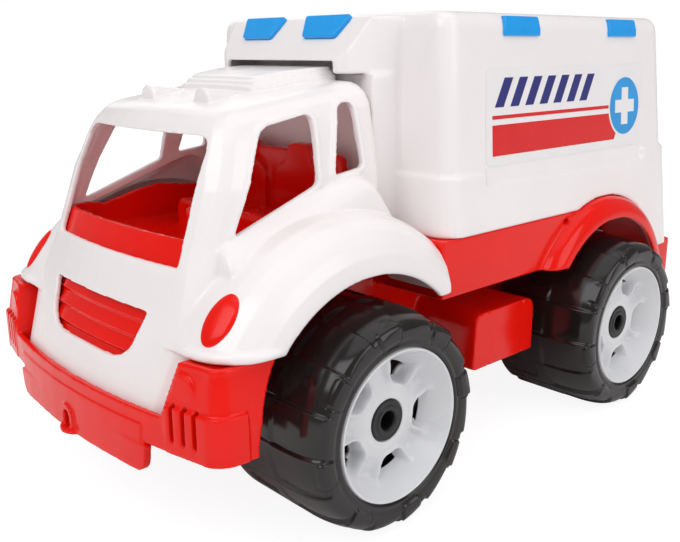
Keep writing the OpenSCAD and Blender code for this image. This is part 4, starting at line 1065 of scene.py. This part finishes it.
screws = {
    "headRadius": 3.2,
    "headHeight": 2.0,
    "crown": 2.6,                  # roundness of the head
    "recess": (1.9, 0.42, 1.1),    # reach, half width, depth
    "shank": (1.5, 6.0),           # radius, length
    "rays": 64,
    "rings": 26,
    "places": [(62, 74, 115.0), (62, 126, 115.0), (26, 20, 110.0), (30, -70, 59.7)],
}


def screwHead():
    n, m = screws["rays"], screws["rings"]
    turns = np.linspace(0, 2 * math.pi, n, endpoint=False)
    t, share = np.meshgrid(turns, np.linspace(0, 1, m), indexing="ij")
    r = share * screws["headRadius"]
    reach, half, deep = screws["recess"]
    u, w = np.abs(r * np.cos(t)), np.abs(r * np.sin(t))
    upright, level = np.maximum(u - half, w - reach), np.maximum(w - half, u - reach)
    recess = deep * np.maximum(inside(upright, 0.25), inside(level, 0.25))
    top = screws["headHeight"] * np.sqrt(np.clip(1 - share ** screws["crown"], 0, 1)) - recess
    points = np.stack([r * np.cos(t), r * np.sin(t), -top], -1).reshape(-1, 3)
    radius, length = screws["shank"]
    shank = [(radius * math.cos(a), radius * math.sin(a), z) for z in (0.0, length) for a in turns]
    base = len(points)
    faces = gridFaces(n, m, True, False)
    faces += [tuple(base + k for k in cell) for cell in gridFaces(2, n, False, True)]
    faces.append(tuple(range(base + n, base + 2 * n)))
    return sewNormals(newPiece("screwHead", np.concatenate([points, shank]) * mm, faces), seam)


def pointsTree(name, source, material):
    tree = bpy.data.node_groups.new(name, "GeometryNodeTree")
    tree.interface.new_socket("Points", in_out="INPUT", socket_type="NodeSocketGeometry")
    tree.interface.new_socket("Out", in_out="OUTPUT", socket_type="NodeSocketGeometry")
    given = addNode(tree, "NodeGroupInput")
    shape = addNode(tree, "GeometryNodeObjectInfo", {"Object": source})
    copies = addNode(tree, "GeometryNodeInstanceOnPoints",
                     links={"Points": (given, 0), "Instance": (shape, "Geometry")})
    real = addNode(tree, "GeometryNodeRealizeInstances", links={0: (copies, 0)})
    paint = addNode(tree, "GeometryNodeSetMaterial", {"Material": material}, {"Geometry": (real, 0)})
    addNode(tree, "NodeGroupOutput", links={0: (paint, 0)})
    return tree


def makeScrews():
    head = screwHead()
    places = [(s * x * mm, (y + frontAxleY) * mm, z * mm) for x, y, z in screws["places"] for s in (1, -1)]
    piece = newPiece("chassisScrews", places, [])
    tree = pointsTree("setOnPoints", head, finish["zincPlatedSteel"])
    piece.modifiers.new("set", "NODES").node_group = tree
    plainMesh(piece)
    bpy.data.objects.remove(head)
    handOver(piece, "vehicle", "steel_wire", ["chassis_screws"])
    print("screws set:", len(places))


makeScrews()
